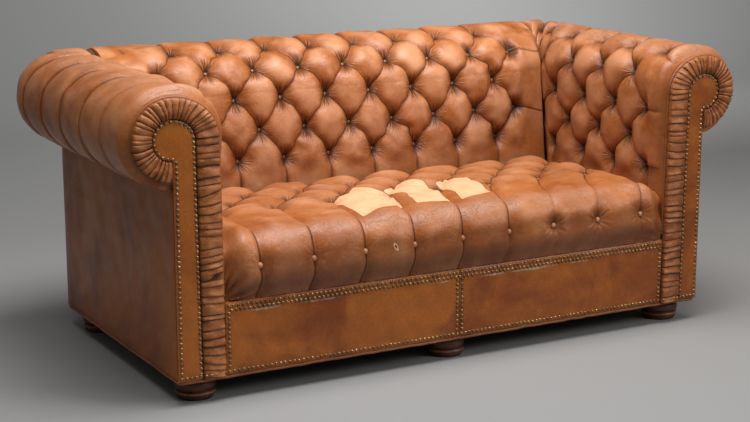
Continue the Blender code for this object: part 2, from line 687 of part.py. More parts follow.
def build_frame(timber):
    """Make the timber frame."""
    inside = BASE_HALF_WIDTH - SKIN_THICKNESS - GAP
    rail_front = front(APRON_BACK + GAP)
    rail_inner = rail_front + RAIL_THICKNESS
    rear_face = front(BASE_DEPTH - SKIN_THICKNESS - GAP)
    rear_inner = rear_face - RAIL_THICKNESS
    bottom, top = BASE_BOTTOM, SEAT_LINE
    add_box("front_rail", (-inside, rail_front, bottom), (inside, rail_inner, top), timber)
    add_box("rear_rail", (-inside, rear_inner, bottom), (inside, rear_face, top), timber)
    add_box(
        "centre_stretcher",
        (-STRETCHER_HALF_WIDTH, rail_inner + GAP, bottom),
        (STRETCHER_HALF_WIDTH, rear_inner - GAP, SEAT_LINE - STRETCHER_DROP), timber,
    )
    post_top = ROLL_RAIL_BOTTOM - GAP
    stand = top + GAP
    channel_low = ARM_ROLL_X - RAIL_HALF_WIDTH
    channel_high = ARM_ROLL_X + RAIL_HALF_WIDTH
    tacking_top = FACE_BOTTOM - GAP
    for label, side in (("left", -1), ("right", 1)):
        boxes = {
            "side_rail": (
                (inside - RAIL_THICKNESS, rail_inner + GAP, bottom),
                (inside, rear_inner - GAP, top),
            ),
            "front_post": (
                (POST_INNER_X, rail_front, stand),
                (inside, rail_front + POST_LENGTH, post_top),
            ),
            "arm_post": (
                (POST_INNER_X, front(ARM_POST_FRONT), stand),
                (inside, front(ARM_POST_REAR), post_top),
            ),
            "corner_post": (
                (POST_INNER_X, rear_face - CORNER_POST_LENGTH, stand),
                (inside, rear_face, ROLL_HEIGHT - ROLL_RADIUS - CORNER_POST_DROP),
            ),
            "back_post": (
                (CREASE_X - BACK_POST_INSET - BACK_POST_HALF_WIDTH, rear_inner, stand),
                (CREASE_X - BACK_POST_INSET + BACK_POST_HALF_WIDTH, rear_inner + BACK_POST_LENGTH, post_top),
            ),
            "arm_rail": (
                (channel_low, front(BOARD_BACK + GAP), ROLL_RAIL_BOTTOM),
                (channel_high, front(ARM_POST_REAR), ROLL_RAIL_TOP),
            ),
            "arm_tacking_rail": (
                (TACKING_INNER_X, rail_front, tacking_top - TACKING_HEIGHT),
                (POST_INNER_X - GAP, front(ARM_POST_FRONT), tacking_top),
            ),
        }
        for name, (low, high) in boxes.items():
            add_box(label + "_" + name, *mirrored(side, low, high), timber)
    add_box(
        "centre_back_post",
        (-BACK_POST_HALF_WIDTH, rear_inner, stand),
        (BACK_POST_HALF_WIDTH, rear_inner + BACK_POST_LENGTH, post_top), timber,
    )
    half = CREASE_X - PAD_GAP
    add_box(
        "back_top_rail",
        (-half, front(BACK_ROLL_DEPTH - RAIL_HALF_WIDTH), ROLL_RAIL_BOTTOM),
        (half, front(BACK_ROLL_DEPTH + RAIL_HALF_WIDTH), ROLL_RAIL_TOP), timber,
    )
    half = POST_INNER_X - GAP
    low = front(ARM_POST_FRONT) + GAP
    add_box(
        "back_tacking_rail",
        (-half, low, tacking_top - TACKING_HEIGHT), (half, low + TACKING_WIDTH, tacking_top), timber,
    )


def build_springs(steel):
    """Make the zigzag springs between the front and the rear rail."""
    start = front(APRON_BACK + RAIL_THICKNESS + 2.0 * GAP) + SPRING_WIRE_RADIUS
    end = front(BASE_DEPTH - SKIN_THICKNESS - RAIL_THICKNESS - 2.0 * GAP) - SPRING_WIRE_RADIUS
    height = SEAT_LINE - SPRING_WIRE_RADIUS
    step = (end - start) / SPRING_LOOPS
    for index in range(SPRING_COUNT):
        middle = SPRING_SPACING * (index - (SPRING_COUNT - 1) / 2.0)
        points = []
        for loop in range(SPRING_LOOPS):
            lean = SPRING_HALF_WIDTH * (1 if loop % 2 else -1)
            y = start + step * loop
            points.append((middle + lean, y + SPRING_TURN * step, height))
            points.append((middle + lean, y + (1.0 - SPRING_TURN) * step, height))
        points[0] = (points[0][0], start, height)
        points[-1] = (points[-1][0], end, height)
        add_wire(f"seat_spring_{index + 1}", points, SPRING_WIRE_RADIUS, steel, resolution=0)


def build_feet(wood):
    """Turn six bun feet and stand them under the frame's corners and middle."""
    for row, depth in (("front", FOOT_INSET), ("rear", BASE_DEPTH - FOOT_INSET)):
        for label, x in (("left", -FOOT_X), ("middle", 0.0), ("right", FOOT_X)):
            name = f"{row}_{label}_foot"
            mesh = bpy.data.meshes.new(name)
            work = bmesh.new()
            rim = [(0.0, FOOT_HEIGHT)] + [(r, share * FOOT_HEIGHT) for r, share in FOOT_PROFILE] + [(0.0, 0.0)]
            verts = [work.verts.new((r, 0.0, z)) for r, z in rim]
            for a, b in zip(verts, verts[1:]):
                work.edges.new((a, b))
            work.to_mesh(mesh)
            work.free()
            foot = add_object(name, mesh, wood)
            foot.location = (x, front(depth), 0.0)
            screw = foot.modifiers.new("Turned", "SCREW")
            screw.steps = FOOT_STEPS
            screw.render_steps = FOOT_STEPS
            screw.use_merge_vertices = True
            screw.merge_threshold = 0.0001
            screw.use_smooth_shade = True


def main():
    """Clear the scene and build the sofa."""
    for thing in list(bpy.data.objects):
        bpy.data.objects.remove(thing, do_unlink=True)
    collection = bpy.data.collections.new("worn_leather_sofa")
    bpy.context.scene.collection.children.link(collection)

    tufted = make_material("tan_leather", (0.42, 0.19, 0.085), 0.42)
    ruched = make_material("ruched_leather", (0.33, 0.14, 0.065), 0.5)
    plain = make_material("plain_leather", (0.36, 0.17, 0.065), 0.45)
    piping = make_material("piping_leather", (0.45, 0.25, 0.13), 0.5)
    timber = make_material("frame_timber", (0.55, 0.38, 0.22), 0.8)
    foot_wood = make_material("foot_wood", (0.10, 0.03, 0.018), 0.35)
    steel = make_material("spring_steel", (0.32, 0.32, 0.33), 0.4, 1.0)
    cambric = make_material("black_cambric", (0.02, 0.02, 0.02), 0.9)

    build_frame(timber)
    build_springs(steel)
    build_seat_pad(tufted)
    build_back_pad(tufted)
    for label, side in (("left", -1), ("right", 1)):
        build_arm_pad(label + "_arm_pad", side, tufted)
        build_arm_front(label, side, plain, ruched, piping, timber)
    build_shell(plain, plain, cambric, piping)
    build_feet(foot_wood)


main()
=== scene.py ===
"""Looks of a worn button-tufted leather sofa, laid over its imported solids.

Lengths are in metres in the shared frame: +X to the right as seen from the front, +Y to the rear, +Z up.
A depth is a distance back from the front plane of the upholstered box.
"""
import logging
import math
from dataclasses import dataclass
from enum import Enum

import bpy
import numpy as np
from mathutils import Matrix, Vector
from mathutils.geometry import delaunay_2d_cdt


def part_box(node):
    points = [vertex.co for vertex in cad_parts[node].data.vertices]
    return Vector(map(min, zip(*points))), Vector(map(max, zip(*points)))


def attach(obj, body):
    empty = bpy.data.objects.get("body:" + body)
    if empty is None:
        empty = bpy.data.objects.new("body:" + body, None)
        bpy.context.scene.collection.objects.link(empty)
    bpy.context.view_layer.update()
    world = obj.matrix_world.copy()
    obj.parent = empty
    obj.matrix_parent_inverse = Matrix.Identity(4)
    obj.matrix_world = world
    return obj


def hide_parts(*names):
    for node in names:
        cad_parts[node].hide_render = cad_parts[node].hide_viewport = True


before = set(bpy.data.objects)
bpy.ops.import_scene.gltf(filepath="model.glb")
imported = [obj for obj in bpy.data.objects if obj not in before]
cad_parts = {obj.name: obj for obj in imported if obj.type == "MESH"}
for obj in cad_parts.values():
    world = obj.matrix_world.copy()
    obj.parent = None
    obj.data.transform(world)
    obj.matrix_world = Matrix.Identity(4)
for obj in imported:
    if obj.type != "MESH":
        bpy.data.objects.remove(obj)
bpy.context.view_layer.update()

log = logging.getLogger("sofa")

Colour = tuple[float, float, float, float]
Array = np.ndarray
Faces = list[tuple[int, ...]]

# Angles in degrees above which an edge is shaded sharp.
SHARP_COVER = 70.0
SHARP_FOOT = 60.0
SHARP_PANEL = 50.0
# Half the length over which a slope is measured, in metres and in points of a grid.
PROBE = 0.002
SPREAD = 4
# Least divisor.
TINY = 1e-12


class Side(Enum):
    """The two sides of the sofa as seen from the front."""

    LEFT = -1
    RIGHT = 1

    @property
    def label(self) -> str:
        """Name of the side in node and piece names."""
        return self.name.lower()


class Slot(Enum):
    """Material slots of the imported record."""

    TUFTED = "tan_leather"
    RUCHED = "ruched_leather"
    PLAIN = "plain_leather"
    PIPING = "piping_leather"
    TIMBER = "frame_timber"
    FOOT = "foot_wood"
    STEEL = "spring_steel"
    CAMBRIC = "black_cambric"


def smooth(low: float, high: float, value: Array) -> Array:
    """Ease from 0 at low to 1 at high.

    Args:
        low: value at which the result is 0.
        high: value at which the result is 1.
        value: numbers to ease.

    Returns:
        The eased numbers.
    """
    t = np.clip((np.asarray(value, float) - low) / (high - low), 0.0, 1.0)
    return t * t * (3.0 - 2.0 * t)


def ripple(
    seed: int, longest: float, shortest: float, first: Array, second: Array, count: int = 24,
) -> Array:
    """Smooth uneven field made of waves in many directions, about 1 in size.

    Args:
        seed: number that fixes the directions and phases.
        longest: longest wave.
        shortest: shortest wave.
        first: first coordinate.
        second: second coordinate.
        count: how many waves are added.

    Returns:
        The field at each place.
    """
    rng = np.random.default_rng(seed)
    total = np.zeros(np.broadcast(first, second).shape)
    for _ in range(count):
        length = shortest * (longest / shortest) ** rng.random()
        angle, phase = rng.random(2) * 2.0 * math.pi
        travel = (first * math.cos(angle) + second * math.sin(angle)) / length
        total += np.sin(2.0 * math.pi * travel + phase)
    return total / math.sqrt(count / 2.0)


def scatter(first: Array, second: Array, seed: float) -> Array:
    """Random number from 0 to 1 for each pair of whole numbers."""
    mixed = np.sin(first * 12.9898 + second * 78.233 + seed * 3.717) * 43758.5453
    return mixed - np.floor(mixed)


def soften(values: Array) -> Array:
    """Even out a grid of numbers over its next neighbours.

    Args:
        values: (n, m) numbers.

    Returns:
        The evened numbers.
    """
    for _ in range(2):
        padded = np.pad(values, ((1, 1), (0, 0)), mode="edge")
        values = ((padded[:-2] + 2.0 * values + padded[2:]) / 4.0).T
    return values


def polygon_distance(points: Array, outline: Array) -> Array:
    """Signed distance of points from a closed outline, above 0 inside it.

    Args:
        points: (n, 2) places.
        outline: (k, 2) corners in order.

    Returns:
        (n,) distances.
    """
    start, end = outline, np.roll(outline, -1, axis=0)
    best = np.full(len(points), np.inf)
    inside = np.zeros(len(points), bool)
    for a, b in zip(start, end):
        edge = b - a
        share = np.clip(((points - a) @ edge) / max(float(edge @ edge), TINY), 0.0, 1.0)
        gap = points - (a + share[:, None] * edge)
        best = np.minimum(best, np.einsum("ij,ij->i", gap, gap))
        crosses = (a[1] > points[:, 1]) != (b[1] > points[:, 1])
        rise = b[1] - a[1] if abs(b[1] - a[1]) > TINY else TINY
        inside ^= crosses & (points[:, 0] < (b[0] - a[0]) * (points[:, 1] - a[1]) / rise + a[0])
    return np.where(inside, 1.0, -1.0) * np.sqrt(best)


def resample(line: Array, step: float, closed: bool = False) -> Array:
    """Points at an even step along a line.

    Args:
        line: (k, d) corners of the line.
        step: wanted distance between points.
        closed: True for a line that ends where it starts.

    Returns:
        (n, d) points; a closed line's first point isn't repeated.
    """
    line = np.asarray(line, float)
    if closed:
        line = np.vstack([line, line[:1]])
    lengths = np.concatenate([[0.0], np.cumsum(np.linalg.norm(np.diff(line, axis=0), axis=1))])
    count = max(2, round(lengths[-1] / step))
    marks = np.linspace(0.0, lengths[-1], count + 1)
    if closed:
        marks = marks[:-1]
    return np.column_stack([np.interp(marks, lengths, line[:, i]) for i in range(line.shape[1])])


def make_piece(
    name: str, points: Array, faces: Faces, material: bpy.types.Material,
    fields: dict[str, Array] | None = None, sharp: float = SHARP_COVER,
) -> bpy.types.Object:
    """Make a smooth-shaded mesh object and let it ride on the sofa.

    Args:
        name: name of the piece.
        points: (n, 3) places.
        faces: corner numbers of each face.
        material: finish of the piece.
        fields: named numbers for each point, read by the finish.
        sharp: angle in degrees above which an edge is shaded sharp.

    Returns:
        The new object.
    """
    mesh = bpy.data.meshes.new(name)
    mesh.from_pydata(np.asarray(points, float).tolist(), [], faces)
    for key, values in (fields or {}).items():
        layer = mesh.attributes.new(key, "FLOAT", "POINT")
        layer.data.foreach_set("value", np.asarray(values, np.float32).ravel())
    mesh.validate()
    mesh.shade_smooth()
    mesh.set_sharp_from_angle(angle=math.radians(sharp))
    mesh.materials.append(material)
    piece = bpy.data.objects.new(name, mesh)
    bpy.context.scene.collection.objects.link(piece)
    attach(piece, "root")
    log.info("%s: %d faces", name, len(mesh.polygons))
    return piece


def loft(outer: Array, heights: Array, inner: Array, flip: bool) -> tuple[Array, Faces]:
    """Skin closed ribs, splitting each quad of the outer side along its valley, and cap both ends.

    Args:
        outer: (n, m, 3) outer points, rib by rib.
        heights: (n, m) surface heights, which say where the valleys are.
        inner: (n, k, 3) points that close each rib.
        flip: True to turn the faces over.

    Returns:
        The points and the faces.
    """
    points = np.concatenate([outer, inner], axis=1)
    level = np.concatenate([heights, np.zeros(inner.shape[:2])], axis=1)
    n, m = level.shape
    index = np.arange(n * m).reshape(n, m)
    after = np.roll(index, -1, axis=1)
    a, b, c, d = (corner.ravel() for corner in (index[:-1], after[:-1], after[1:], index[1:]))
    flat = level.ravel()
    rising = flat[a] + flat[c] <= flat[b] + flat[d]
    first = np.where(rising[:, None], np.column_stack([a, b, c]), np.column_stack([a, b, d]))
    second = np.where(rising[:, None], np.column_stack([a, c, d]), np.column_stack([b, c, d]))
    triangles = np.concatenate([first, second])
    start, end = index[0][::-1], index[-1]
    if flip:
        triangles, start, end = triangles[:, ::-1], start[::-1], end[::-1]
    faces = [tuple(face) for face in triangles.tolist()]
    return points.reshape(-1, 3), faces + [tuple(start.tolist()), tuple(end.tolist())]


def sleeve(index: Array, closed: bool = False) -> Faces:
    """Faces between rings of points, with a cap at each end unless the rings close.

    Args:
        index: (n, sides) numbers of the points, ring by ring.
        closed: True where the last ring joins the first.

    Returns:
        The faces.
    """
    rings = np.vstack([index, index[:1]]) if closed else index
    after = np.roll(rings, -1, axis=1)
    corners = (rings[:-1], rings[1:], after[1:], after[:-1])
    faces = np.column_stack([corner.ravel() for corner in corners]).tolist()
    if not closed:
        faces += [index[0].tolist(), index[-1][::-1].tolist()]
    return [tuple(face) for face in faces]


def tube(path: Array, radius: float, closed: bool = False, sides: int = 10) -> tuple[Array, Faces]:
    """Round tube along a path.

    Args:
        path: (n, 3) points of its centre line.
        radius: radius of the tube.
        closed: True for a ring.
        sides: how many sides its section has.

    Returns:
        The points and the faces.
    """
    path = np.asarray(path, float)
    if closed:
        along = np.roll(path, -1, axis=0) - np.roll(path, 1, axis=0)
    else:
        along = np.gradient(path, axis=0)
    along /= np.linalg.norm(along, axis=1)[:, None]
    upright = np.ptp(path[:, 1]) < np.ptp(path[:, 2])
    side = np.cross(along, (0.0, 1.0, 0.0) if upright else (0.0, 0.0, 1.0))
    side /= np.linalg.norm(side, axis=1)[:, None]
    up = np.cross(side, along)
    turn = np.arange(sides) * 2.0 * math.pi / sides
    ring = np.cos(turn)[None, :, None] * side[:, None] + np.sin(turn)[None, :, None] * up[:, None]
    points = (path[:, None] + radius * ring).reshape(-1, 3)
    return points, sleeve(np.arange(len(points)).reshape(-1, sides), closed)


def domes(
    places: Array, normals: Array, radius: float, height: float, sides: int, rings: int,
) -> tuple[Array, Faces, Array]:
    """Low closed domes, such as nail heads and covered buttons.

    Args:
        places: (n, 3) centres of their feet.
        normals: (n, 3) directions in which they stand.
        radius: radius of the foot.
        height: height of the dome.
        sides: sides of each ring.
        rings: rings between foot and crown.

    Returns:
        The points, the faces and each point's share of the height.
    """
    normals = normals / np.linalg.norm(normals, axis=1)[:, None]
    guide = np.where(np.abs(normals[:, 2:3]) > 0.8, [[1.0, 0.0, 0.0]], [[0.0, 0.0, 1.0]])
    side = np.cross(guide, normals)
    side /= np.linalg.norm(side, axis=1)[:, None]
    up = np.cross(normals, side)
    tilt = np.arange(rings) / rings * math.pi / 2.0
    turn = np.arange(sides) * 2.0 * math.pi / sides
    local = [(math.cos(t) * math.cos(w), math.cos(t) * math.sin(w), math.sin(t)) for t in tilt for w in turn]
    local = np.array([*local, (0.0, 0.0, 1.0)])
    points = (
        places[:, None]
        + radius * local[None, :, 0:1] * side[:, None]
        + radius * local[None, :, 1:2] * up[:, None]
        + height * local[None, :, 2:3] * normals[:, None]
    )
    one = [tuple(reversed(range(sides)))]
    for ring in range(rings - 1):
        for i in range(sides):
            j = (i + 1) % sides
            one.append((ring * sides + i, ring * sides + j, (ring + 1) * sides + j, (ring + 1) * sides + i))
    top = (rings - 1) * sides
    one += [(top + i, top + (i + 1) % sides, rings * sides) for i in range(sides)]
    count = len(local)
    faces = [tuple(corner + k * count for corner in face) for k in range(len(places)) for face in one]
    return points.reshape(-1, 3), faces, np.tile(local[:, 2], len(places))


def tone(red: float, green: float, blue: float) -> Colour:
    """Linear colour of a display colour.

    Args:
        red: red from 0 to 255.
        green: green from 0 to 255.
        blue: blue from 0 to 255.

    Returns:
        The linear colour, opaque.
    """
    shares = [channel / 255.0 for channel in (red, green, blue)]
    linear = [s / 12.92 if s <= 0.04045 else ((s + 0.055) / 1.055) ** 2.4 for s in shares]
    return (*linear, 1.0)


class Value:
    """A socket of a shader that takes part in arithmetic."""

    def __init__(self, graph: "Graph", socket: bpy.types.NodeSocket) -> None:
        """Wrap a socket of a graph."""
        self.graph = graph
        self.socket = socket

    def _join(self, operation: str, first: "Value | float", second: "Value | float" = 0.0) -> "Value":
        """Add a Math node on two numbers."""
        return self.graph.value("ShaderNodeMath", {"operation": operation}, {0: first, 1: second})

    def __add__(self, other: "Value | float") -> "Value":
        """Sum."""
        return self._join("ADD", self, other)

    __radd__ = __add__

    def __sub__(self, other: "Value | float") -> "Value":
        """Difference."""
        return self._join("SUBTRACT", self, other)

    def __rsub__(self, other: float) -> "Value":
        """Difference from a number."""
        return self._join("SUBTRACT", other, self)

    def __mul__(self, other: "Value | float") -> "Value":
        """Product."""
        return self._join("MULTIPLY", self, other)

    __rmul__ = __mul__

    def __truediv__(self, other: "Value | float") -> "Value":
        """Quotient."""
        return self._join("DIVIDE", self, other)

    def __pow__(self, other: float) -> "Value":
        """Power."""
        return self._join("POWER", self, other)

    def __abs__(self) -> "Value":
        """Size without sign."""
        return self._join("ABSOLUTE", self)

    def folded(self) -> "Value":
        """Distance to the nearest whole number."""
        return self._join("PINGPONG", self, 0.5)

    def highest(self, other: "Value | float") -> "Value":
        """Higher of two numbers."""
        return self._join("MAXIMUM", self, other)

    def eased(self, low: float, high: float) -> "Value":
        """Smooth step from 0 at low to 1 at high."""
        sockets = {"Value": self, "From Min": low, "From Max": high}
        return self.graph.value("ShaderNodeMapRange", {"interpolation_type": "SMOOTHSTEP"}, sockets)

    def ridged(self) -> "Value":
        """Lines where a noise passes its middle, 1 on the line."""
        return 1.0 - abs(self * 2.0 - 1.0)


class Graph:
    """The node tree of one material."""

    def __init__(self, name: str) -> None:
        """Start a material.

        Args:
            name: name of the material.
        """
        self.material = bpy.data.materials.new(name)
        self.material.use_nodes = True
        self.tree = self.material.node_tree
        self.shader = self.tree.nodes["Principled BSDF"]
        self.place = self.value("ShaderNodeTexCoord", {}, {}, "Object")

    def node(self, kind: str, settings: dict, sockets: dict) -> bpy.types.Node:
        """Add a node.

        Args:
            kind: type of the node.
            settings: its properties, set first.
            sockets: values or links of its inputs by name or number.

        Returns:
            The node.
        """
        made = self.tree.nodes.new(kind)
        for key, setting in settings.items():
            setattr(made, key, setting)
        for key, given in sockets.items():
            self.feed(made.inputs[key], given)
        return made

    def feed(self, socket: bpy.types.NodeSocket, given: "Value | float | tuple") -> None:
        """Link or set one input.

        Args:
            socket: the input.
            given: a value to link, or a number or vector to set.
        """
        if isinstance(given, Value):
            self.tree.links.new(given.socket, socket)
        else:
            socket.default_value = given

    def value(self, kind: str, settings: dict, sockets: dict, output: str | int = 0) -> Value:
        """Add a node and return one of its outputs."""
        return Value(self, self.node(kind, settings, sockets).outputs[output])

    def field(self, name: str) -> Value:
        """Number that a mesh carries at each point."""
        return self.value("ShaderNodeAttribute", {"attribute_name": name}, {}, "Fac")

    def stretched(self, x: float, y: float, z: float) -> Value:
        """The place, stretched along the axes."""
        return self.value("ShaderNodeVectorMath", {"operation": "MULTIPLY"}, {0: self.place, 1: (x, y, z)})

    def noise(
        self, scale: float, detail: float = 2.0, rough: float = 0.5, twist: float = 0.0,
        place: Value | None = None,
    ) -> Value:
        """Noise from 0 to 1.

        Args:
            scale: how many waves there are in a metre.
            detail: how many finer layers it has.
            rough: strength of the finer layers.
            twist: distortion.
            place: coordinates, or None for the object's own.

        Returns:
            The noise.
        """
        sockets = {"Vector": place or self.place, "Scale": scale, "Detail": detail}
        return self.value("ShaderNodeTexNoise", {}, sockets | {"Roughness": rough, "Distortion": twist})

    def cells(self, scale: float, feature: str = "F1", place: Value | None = None) -> Value:
        """Distance in a pattern of cells."""
        sockets = {"Vector": place or self.place, "Scale": scale}
        return self.value("ShaderNodeTexVoronoi", {"feature": feature}, sockets, "Distance")

    def blend(self, base: "Value | Colour", over: "Value | Colour", factor: "Value | float") -> Value:
        """Lay one colour over another."""
        settings = {"data_type": "RGBA", "blend_type": "MIX", "clamp_factor": True}
        return self.value("ShaderNodeMix", settings, {0: factor, 6: base, 7: over}, 2)

    def finish(
        self, colour: "Value | Colour", roughness: "Value | float", height: Value | None = None,
        **constants: float,
    ) -> bpy.types.Material:
        """Feed the shader and return the material.

        Args:
            colour: base colour.
            roughness: roughness.
            height: relief in metres.
            **constants: numbers set on the shader's own sockets, with _ for a space.

        Returns:
            The finished material.
        """
        self.feed(self.shader.inputs["Base Color"], colour)
        self.feed(self.shader.inputs["Roughness"], roughness)
        if height is not None:
            bump = self.value("ShaderNodeBump", {}, {"Height": height, "Distance": 1.0, "Strength": 1.0})
            self.feed(self.shader.inputs["Normal"], bump)
        for key, number in constants.items():
            self.feed(self.shader.inputs[key.replace("_", " ")], number)
        return self.material


@dataclass(frozen=True)
class Leather:
    """Smooth aniline leather with grain, cloudy colour and fine wrinkles."""

    name: str
    ground: Colour
    cloud: Colour
    # rubbed is a pale tone for rubbed wear, and on tufted leather also for the painted highlight on its
    # crowns.
    rubbed: Colour
    # crease is a dark tone for specks and fine wrinkles, and on tufted leather also for painted shade in its
    # folds.
    crease: Colour
    roughness: float = 0.40
    grain: float = 0.00012
    wrinkle: float = 0.0005
    scuffed: Colour = tone(184, 164, 140)
    reflection: float = 0.36
    pore_scale: float = 520.0
    line_scale: float = 55.0
    fine_scale: float = 170.0
    soft_scale: float = 28.0
    cloud_scale: float = 4.2
    rub_scale: float = 17.0
    speck_scale: float = 260.0

    def lines(self, graph: Graph, thin: float) -> Value:
        """Fine wrinkles, 1 on the line and thinner with a higher power."""
        return graph.noise(self.line_scale, 4.0, 0.55, 1.2).ridged() ** thin

    def relief(self, graph: Graph) -> Value:
        """Grain and wrinkles.

        Args:
            graph: the material's graph.

        Returns:
            Relief in metres.
        """
        pores = graph.cells(self.pore_scale) * self.grain
        lines = self.lines(graph, 5.0) * self.wrinkle
        fine = graph.noise(self.fine_scale, 3.0, 0.6, 0.8).ridged() ** 4.0 * (self.wrinkle * 0.35)
        return pores - lines - fine + graph.noise(self.soft_scale, 3.0) * self.wrinkle * 2.0

    def base(self, graph: Graph) -> Value:
        """Cloudy ground colour.

        Args:
            graph: the material's graph.

        Returns:
            The colour.
        """
        clouds = graph.noise(self.cloud_scale, 4.0, 0.6, 0.6).eased(0.38, 0.66)
        colour = graph.blend(self.ground, self.cloud, clouds)
        rub = graph.noise(self.rub_scale, 5.0, 0.65).eased(0.54, 0.78)
        colour = graph.blend(colour, self.rubbed, rub * 0.45)
        colour = graph.blend(colour, self.crease, self.lines(graph, 14.0) * 0.22)
        speck = graph.noise(self.speck_scale, 2.0, 0.7).eased(0.3, 0.7)
        return graph.blend(colour, self.crease, speck * 0.10)

    def shine(self, graph: Graph) -> Value:
        """Roughness of the hide."""
        return graph.noise(23.0, 4.0, 0.6) * 0.16 + (self.roughness - 0.08)

    def build(self) -> bpy.types.Material:
        """Make the material, scuffed grey by the field scuff.

        Returns:
            The material.
        """
        graph = Graph(self.name)
        field = graph.field("scuff")
        scuff = (field + (graph.noise(75.0, 6.0, 0.8) - 0.5) * 1.5).eased(0.40, 0.95)
        colour = graph.blend(self.base(graph), self.scuffed, scuff * field.eased(0.05, 0.4) * 0.75)
        shine = self.shine(graph) + scuff * 0.2
        return graph.finish(colour, shine, self.relief(graph), Specular_IOR_Level=self.reflection)


@dataclass(frozen=True)
class TuftedLeather(Leather):
    """Leather with painted shade in its folds, along its creases, round its buttons and towards its lower
    parts, and a painted highlight mixed with rubbed wear on its crowns; it also has worn and bare places.
    """

    # seam is the dark tone of the painted shade along the creases and round the buttons, and of the inside of
    # the tear.
    seam: Colour = tone(44, 17, 5)
    worn: Colour = tone(158, 110, 82)
    bare: Colour = tone(228, 165, 124)
    bare_dark: Colour = tone(206, 132, 84)
    scratched: Colour = tone(228, 180, 138)
    torn_edge: Colour = tone(226, 176, 132)

    def build(self) -> bpy.types.Material:
        """Make the material from the fields of a Relief and the field tear.

        Returns:
            The material.
        """
        graph = Graph(self.name)
        tuft = graph.field("tuft")
        rising, falling = graph.field("rising").folded(), graph.field("falling").folded()
        # Painted shade along the crease lines, as strong as the field line says.
        one, two = 1.0 - rising.eased(0.008, 0.028), 0.8 - falling.eased(0.005, 0.023) * 0.8
        creases = one.highest(two) * graph.field("line")
        gathers, pull = self.gathers(graph)
        ragged = graph.noise(40.0, 5.0, 0.65)

        # Painted highlight on the crowns of the puffs, mixed with patchy rubbed wear.
        crown = tuft.eased(0.55, 1.0) * graph.noise(9.0, 4.0, 0.6).eased(0.34, 0.62)
        mottled = (graph.field("wear") + (graph.noise(13.0, 6.0, 0.7) - 0.5) * 0.9).eased(0.25, 0.85)
        cracks = graph.cells(115.0, "DISTANCE_TO_EDGE", graph.stretched(1.0, 0.7, 0.7)).eased(0.0, 0.07)
        cracks = (1.0 - cracks) * mottled
        wrinkles = graph.noise(20.0, 2.0, 0.5, 0.7).ridged() ** 26.0 * mottled
        scratch = graph.noise(21.0, 1.5, 0.5, 2.5).ridged() ** 60.0
        scratch = scratch * graph.noise(7.0).eased(0.52, 0.62) * mottled
        # Painted shade in the creases: darker where the openness is low, between the puffs and round each
        # button.
        crease_shade = 1.0 - (tuft + (ragged - 0.5) * 0.12).eased(0.02, 0.42)
        # Painted shade in the dent close round each button.
        hold = graph.field("hold") * (1.0 - self.reach(graph).eased(0.004, 0.016))
        tear = graph.field("tear")
        edge = graph.field("patch") + (ragged - 0.5) * 0.003
        inside = edge.eased(-0.0006, 0.0006)
        flesh = graph.blend(self.bare, self.bare_dark, graph.noise(24.0, 4.0).eased(0.48, 0.78) * 0.5)

        layers = (
            # Painted highlight with rubbed wear on the crowns.
            (self.rubbed, crown * 0.75),
            (self.worn, mottled * 0.8),
            (self.crease, cracks * 0.26),
            # Painted shade, darker towards the bottom of each cover.
            (self.crease, graph.field("lower_shade") * (ragged * 0.4 + 0.35)),
            (self.crease, wrinkles * 0.30),
            (self.scratched, scratch * 0.5),
            # Painted shade in the creases.
            (self.crease, crease_shade * 0.80),
            # Painted shade along the crease lines.
            (self.seam, creases * 0.80),
            # Painted shade in the fine folds that fan from each button and in the dent close round it.
            (self.crease, gathers ** 1.6 * pull),
            (self.seam, hold * 0.85),
            (self.torn_edge, tear.eased(0.72, 0.78)),
            (self.seam, tear.eased(0.84, 0.88) * 0.95),
            (flesh, inside),
            (self.crease, (1.0 - abs(edge).eased(0.0, 0.0022)) * 0.75),
        )
        colour = self.base(graph)
        for over, factor in layers:
            colour = graph.blend(colour, over, factor)
        shine = self.shine(graph) + crease_shade * 0.30 + creases * 0.30 + mottled * 0.08 + inside * 0.18
        height = self.relief(graph) * (1.0 - inside * 0.75) - inside * 0.0008 - cracks * 0.0002
        height = height - wrinkles * 0.0009 - gathers * pull * 0.0048 - creases * 0.0016
        return graph.finish(colour, shine, height, Specular_IOR_Level=self.reflection)

    def reach(self, graph: Graph) -> Value:
        """Distance from the nearest button."""
        across, upward = graph.field("across"), graph.field("upward")
        return (across * across + upward * upward + 1e-6) ** 0.5

    def gathers(self, graph: Graph) -> tuple[Value, Value]:
        """Fine folds that fan out above and below a button, and their strength.

        Args:
            graph: the material's graph.

        Returns:
            Folds from 0 to 1 and strength from 0 to 1.
        """
        across, upward, reach = graph.field("across"), graph.field("upward"), self.reach(graph)
        slice_of_noise = graph.field("phase") * 60.0 + reach * 10.0
        parts = {0: across / reach * 4.6, 1: upward / reach * 4.6, 2: slice_of_noise}
        place = graph.value("ShaderNodeCombineXYZ", {}, parts)
        folds = graph.noise(1.0, 1.5, 0.5, 0.0, place).ridged() ** 2.5
        steep = upward / reach
        pull = reach.eased(0.002, 0.009) * (1.0 - reach.eased(0.012, 0.046)) * (steep * steep * 0.65 + 0.35)
        return folds, pull * graph.field("hold")


@dataclass(frozen=True)
class Metal:
    """Domed brass or drawn steel with tarnish."""

    name: str
    bright: Colour
    tarnish: Colour
    roughness: float
    patches: float

    def build(self) -> bpy.types.Material:
        """Make the material.

        Returns:
            The material.
        """
        graph = Graph(self.name)
        dull = graph.noise(self.patches, 3.0).eased(0.30, 0.70)
        colour = graph.blend(self.bright, self.tarnish, dull)
        graph.feed(graph.shader.inputs["Metallic"], 0.9 - dull * 0.35)
        return graph.finish(colour, dull * 0.12 + self.roughness)


